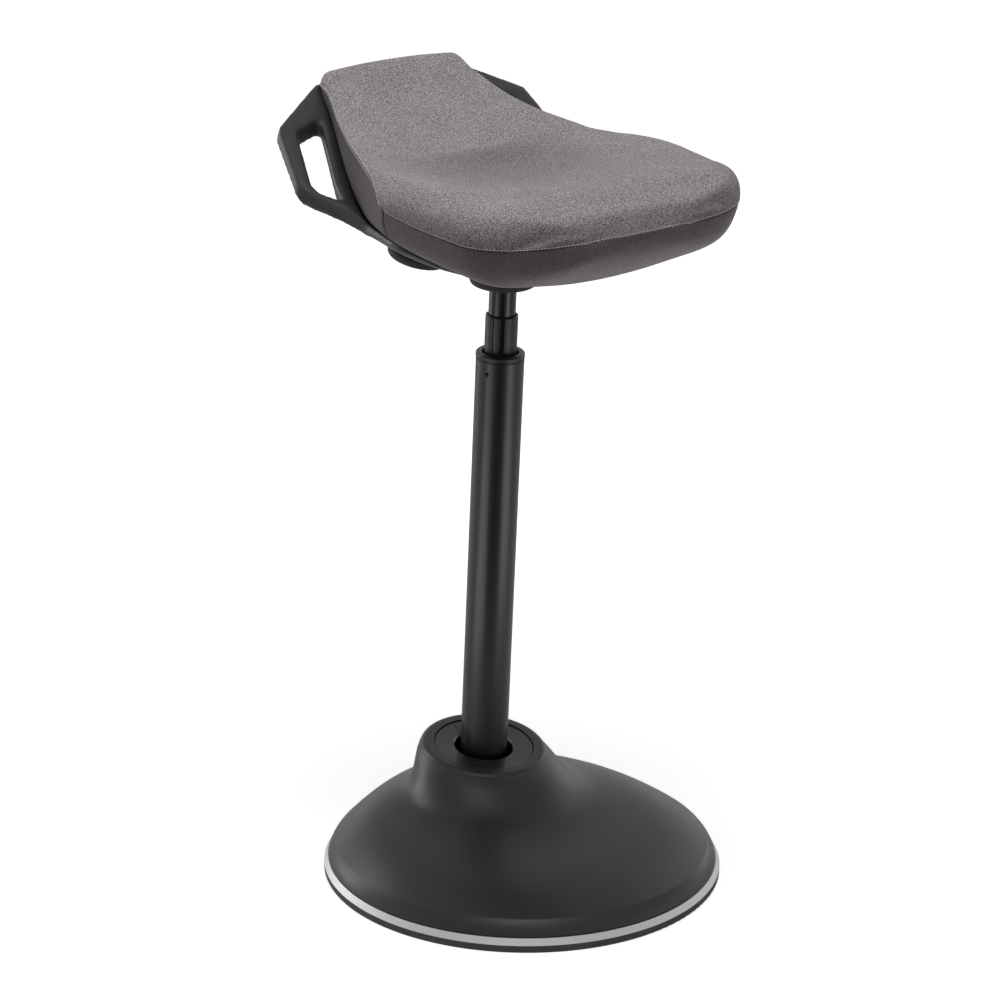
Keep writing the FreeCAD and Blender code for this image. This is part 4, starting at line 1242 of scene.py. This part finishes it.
@dataclass(frozen=True)
class Softbox:
    """One soft studio lamp.

    Args:
        name: Name of the lamp.
        place: Where it hangs, in metres.
        aim: Point that it faces, in metres.
        size: Width and height of its cloth, in metres.
        watts: Its power.
        sees: Which surfaces it lights.
    """

    name: str
    place: tuple[float, float, float]
    aim: tuple[float, float, float]
    size: tuple[float, float]
    watts: float
    sees: Sees

    def build(self) -> None:
        """Hangs the lamp."""
        lamp = bpy.data.lights.new(self.name, "AREA")
        lamp.shape = "RECTANGLE"
        lamp.size, lamp.size_y = self.size
        lamp.energy = self.watts
        holder = bpy.data.objects.new(self.name, lamp)
        holder.location = self.place
        holder.rotation_euler = (Vector(self.aim) - Vector(self.place)).to_track_quat("-Z", "Y").to_euler()
        holder.visible_camera = False
        holder.visible_glossy = self.sees is not Sees.MATT
        holder.visible_diffuse = self.sees is not Sees.GLOSS
        bpy.context.scene.collection.objects.link(holder)


@dataclass
class Studio:
    """Pale floor, soft lamps, white surroundings and the camera of the photograph.

    Args:
        azimuth_deg: Turn of the camera about the stool, zero being in front of it.
        rise_deg: Height of the camera as an angle above the level.
        roll_deg: Tilt of the picture.
        shift_right: Camera's place to the right of the line through the floor's middle, in metres.
        shift_up: Camera's place above that line, in metres.
        distance: Camera's distance along that line, in metres.
        lens_mm: Focal length.
        sensor_mm: Width of the square sensor.
        floor_radius: Radius of the floor, in metres.
        card: Width of the dark card in front, and its near and far ends from the foot's middle, in metres.
        ambient: Strength of the surroundings as light.
        ceiling: Strength of the ceiling and of the room behind the camera in reflections.
        ceiling_fade: Sines of the angles above the level between which the ceiling dims.
        room_fade: Cosines of the angles to the camera's side between which the room dims.
        floor_lift: Light that the floor adds for the camera, so that it reads as white.
        floor_gloss: Light that the floor adds in reflections.
    """

    azimuth_deg: float = -38.751
    rise_deg: float = 19.367
    roll_deg: float = 0.630
    shift_right: float = -0.023108
    shift_up: float = 0.387339
    distance: float = 3.726337
    lens_mm: float = 126.0
    sensor_mm: float = 36.0
    floor_radius: float = 9.0
    card: tuple[float, float, float] = (1.0, 0.55, 2.6)
    ambient: float = 0.04
    ceiling: float = 0.5
    ceiling_fade: Flat = (0.05, 0.45)
    room_fade: Flat = (0.1, 0.75)
    floor_lift: float = 0.68
    floor_gloss: float = 0.1

    def build(self) -> None:
        """Builds the studio round the stool."""
        self.camera()
        self.surroundings()
        self.floor()
        self.dark_card()
        lamps = (
            Softbox("overhead_softbox", (-0.25, -0.3, 2.68), (0.0, 0.05, 0.7), (1.6, 1.4), 38.5, Sees.MATT),
            Softbox("front_softbox", (-0.88, -1.1, 2.1), (0.0, 0.05, 0.4), (1.2, 0.5), 6.0, Sees.GLOSS),
            Softbox("right_softbox", (2.1, 0.3, 1.0), (0.0, 0.0, 0.4), (0.9, 1.8), 3.0, Sees.ALL),
            Softbox("left_softbox", (-0.9, 1.8, 0.9), (0.0, 0.0, 0.4), (0.8, 1.8), 10.0, Sees.ALL),
            Softbox("left_bounce_board", (-0.3, -0.45, 0.01), (-0.3, -0.45, 1.0), (0.4, 0.5), 0.8, Sees.MATT),
            Softbox("right_bounce_board", (0.50, 0.0, 0.01), (0.50, 0.0, 1.0), (0.4, 0.7), 5.5, Sees.MATT),
            Softbox("left_floor_card", (-1.20, 0.05, 0.01), (-1.20, 0.05, 1.0), (1.4, 0.6), 5.0, Sees.GLOSS),
            Softbox("right_floor_card", (0.30, -1.20, 0.01), (0.30, -1.20, 1.0), (0.6, 1.4), 5.0, Sees.GLOSS),
        )
        for lamp in lamps:
            lamp.build()
        bpy.context.scene.view_settings.view_transform = "Standard"

    def camera(self) -> None:
        """Places the camera and makes it the scene's."""
        turn, rise, roll = (math.radians(a) for a in (self.azimuth_deg, self.rise_deg, self.roll_deg))
        back = Vector((math.sin(turn) * math.cos(rise), -math.cos(turn) * math.cos(rise), math.sin(rise)))
        level = Vector((math.cos(turn), math.sin(turn), 0.0))
        upright = back.cross(level)
        right = level * math.cos(roll) + upright * math.sin(roll)
        up = upright * math.cos(roll) - level * math.sin(roll)
        lens = bpy.data.cameras.new("photo_camera")
        lens.lens = self.lens_mm
        lens.sensor_width = self.sensor_mm
        lens.sensor_fit = "AUTO"
        lens.clip_end = 50.0
        holder = bpy.data.objects.new("photo_camera", lens)
        turned = Matrix((right, up, back)).transposed().to_4x4()
        spot = back * self.distance + right * self.shift_right + up * self.shift_up
        holder.matrix_world = Matrix.Translation(spot) @ turned
        bpy.context.scene.collection.objects.link(holder)
        bpy.context.scene.camera = holder

    def surroundings(self) -> None:
        """Makes the surroundings white to look at, with a dim ceiling and a dark room behind the camera."""
        world = bpy.data.worlds.new("white_studio")
        world.use_nodes = True
        bpy.context.scene.world = world
        graph = Graph(world.node_tree, world.node_tree.nodes["Background"])
        turn = math.radians(self.azimuth_deg)
        room = (math.sin(turn), -math.cos(turn), 0.0)
        way = graph.add("TexCoord", {}).outputs["Generated"]
        height = graph.add("SeparateXYZ", {"Vector": way}).outputs["Z"]
        facing = graph.add("VectorMath", {0: way, 1: room}, operation="DOT_PRODUCT").outputs["Value"]
        ceiling = graph.span(height, self.ceiling_fade, (1.0, self.ceiling))
        behind = graph.span(facing, self.room_fade, (1.0, self.ceiling))
        rays = graph.add("LightPath", {}).outputs
        gloss = graph.math("MULTIPLY", rays["Is Glossy Ray"], graph.math("MINIMUM", ceiling, behind))
        direct = graph.math("MAXIMUM", rays["Is Camera Ray"], rays["Is Transmission Ray"])
        shown = graph.math("MAXIMUM", direct, gloss)
        graph.feed({"Color": WHITE, "Strength": graph.math("MAXIMUM", shown, self.ambient)})

    def floor(self) -> None:
        """Lays a matt white floor that keeps a soft shadow."""
        mesh = bmesh.new()
        bmesh.ops.create_circle(mesh, cap_ends=True, segments=96, radius=self.floor_radius)
        paint = StudioPaint("studio_paint_matt_white", "#e8e8e8", 0.9, self.floor_lift, self.floor_gloss)
        ground = keep(mesh, "studio_floor", [paint])

    def dark_card(self) -> None:
        """Lays a dark card on the floor, out of the picture, so that round gloss has a dark middle."""
        mesh = bmesh.new()
        bmesh.ops.create_grid(mesh, x_segments=1, y_segments=1, size=0.5)
        width, near, far = self.card
        turn = Matrix.Rotation(math.radians(self.azimuth_deg), 4, "Z")
        size = Matrix.Diagonal((width, far - near, 1.0, 1.0))
        middle = Matrix.Translation((0.0, -(near + far) / 2, MM))
        bmesh.ops.transform(mesh, matrix=turn @ middle @ size, verts=mesh.verts)
        card = keep(mesh, "dark_card", [CARD_PAPER])
        card.visible_camera = False
        card.visible_shadow = False


def main() -> None:
    """Builds the sub-assemblies in order, then the studio."""
    logging.basicConfig(level=logging.INFO, format="%(message)s")
    column = ColumnFrame()
    RoundFoot().build()
    LiftColumn().build()
    SeatFrame().build()
    cushion = SeatCushion(column)
    piece = cushion.build()
    SeamStitching(cushion).build(piece)
    Studio().build()


if __name__ == "__main__":
    main()
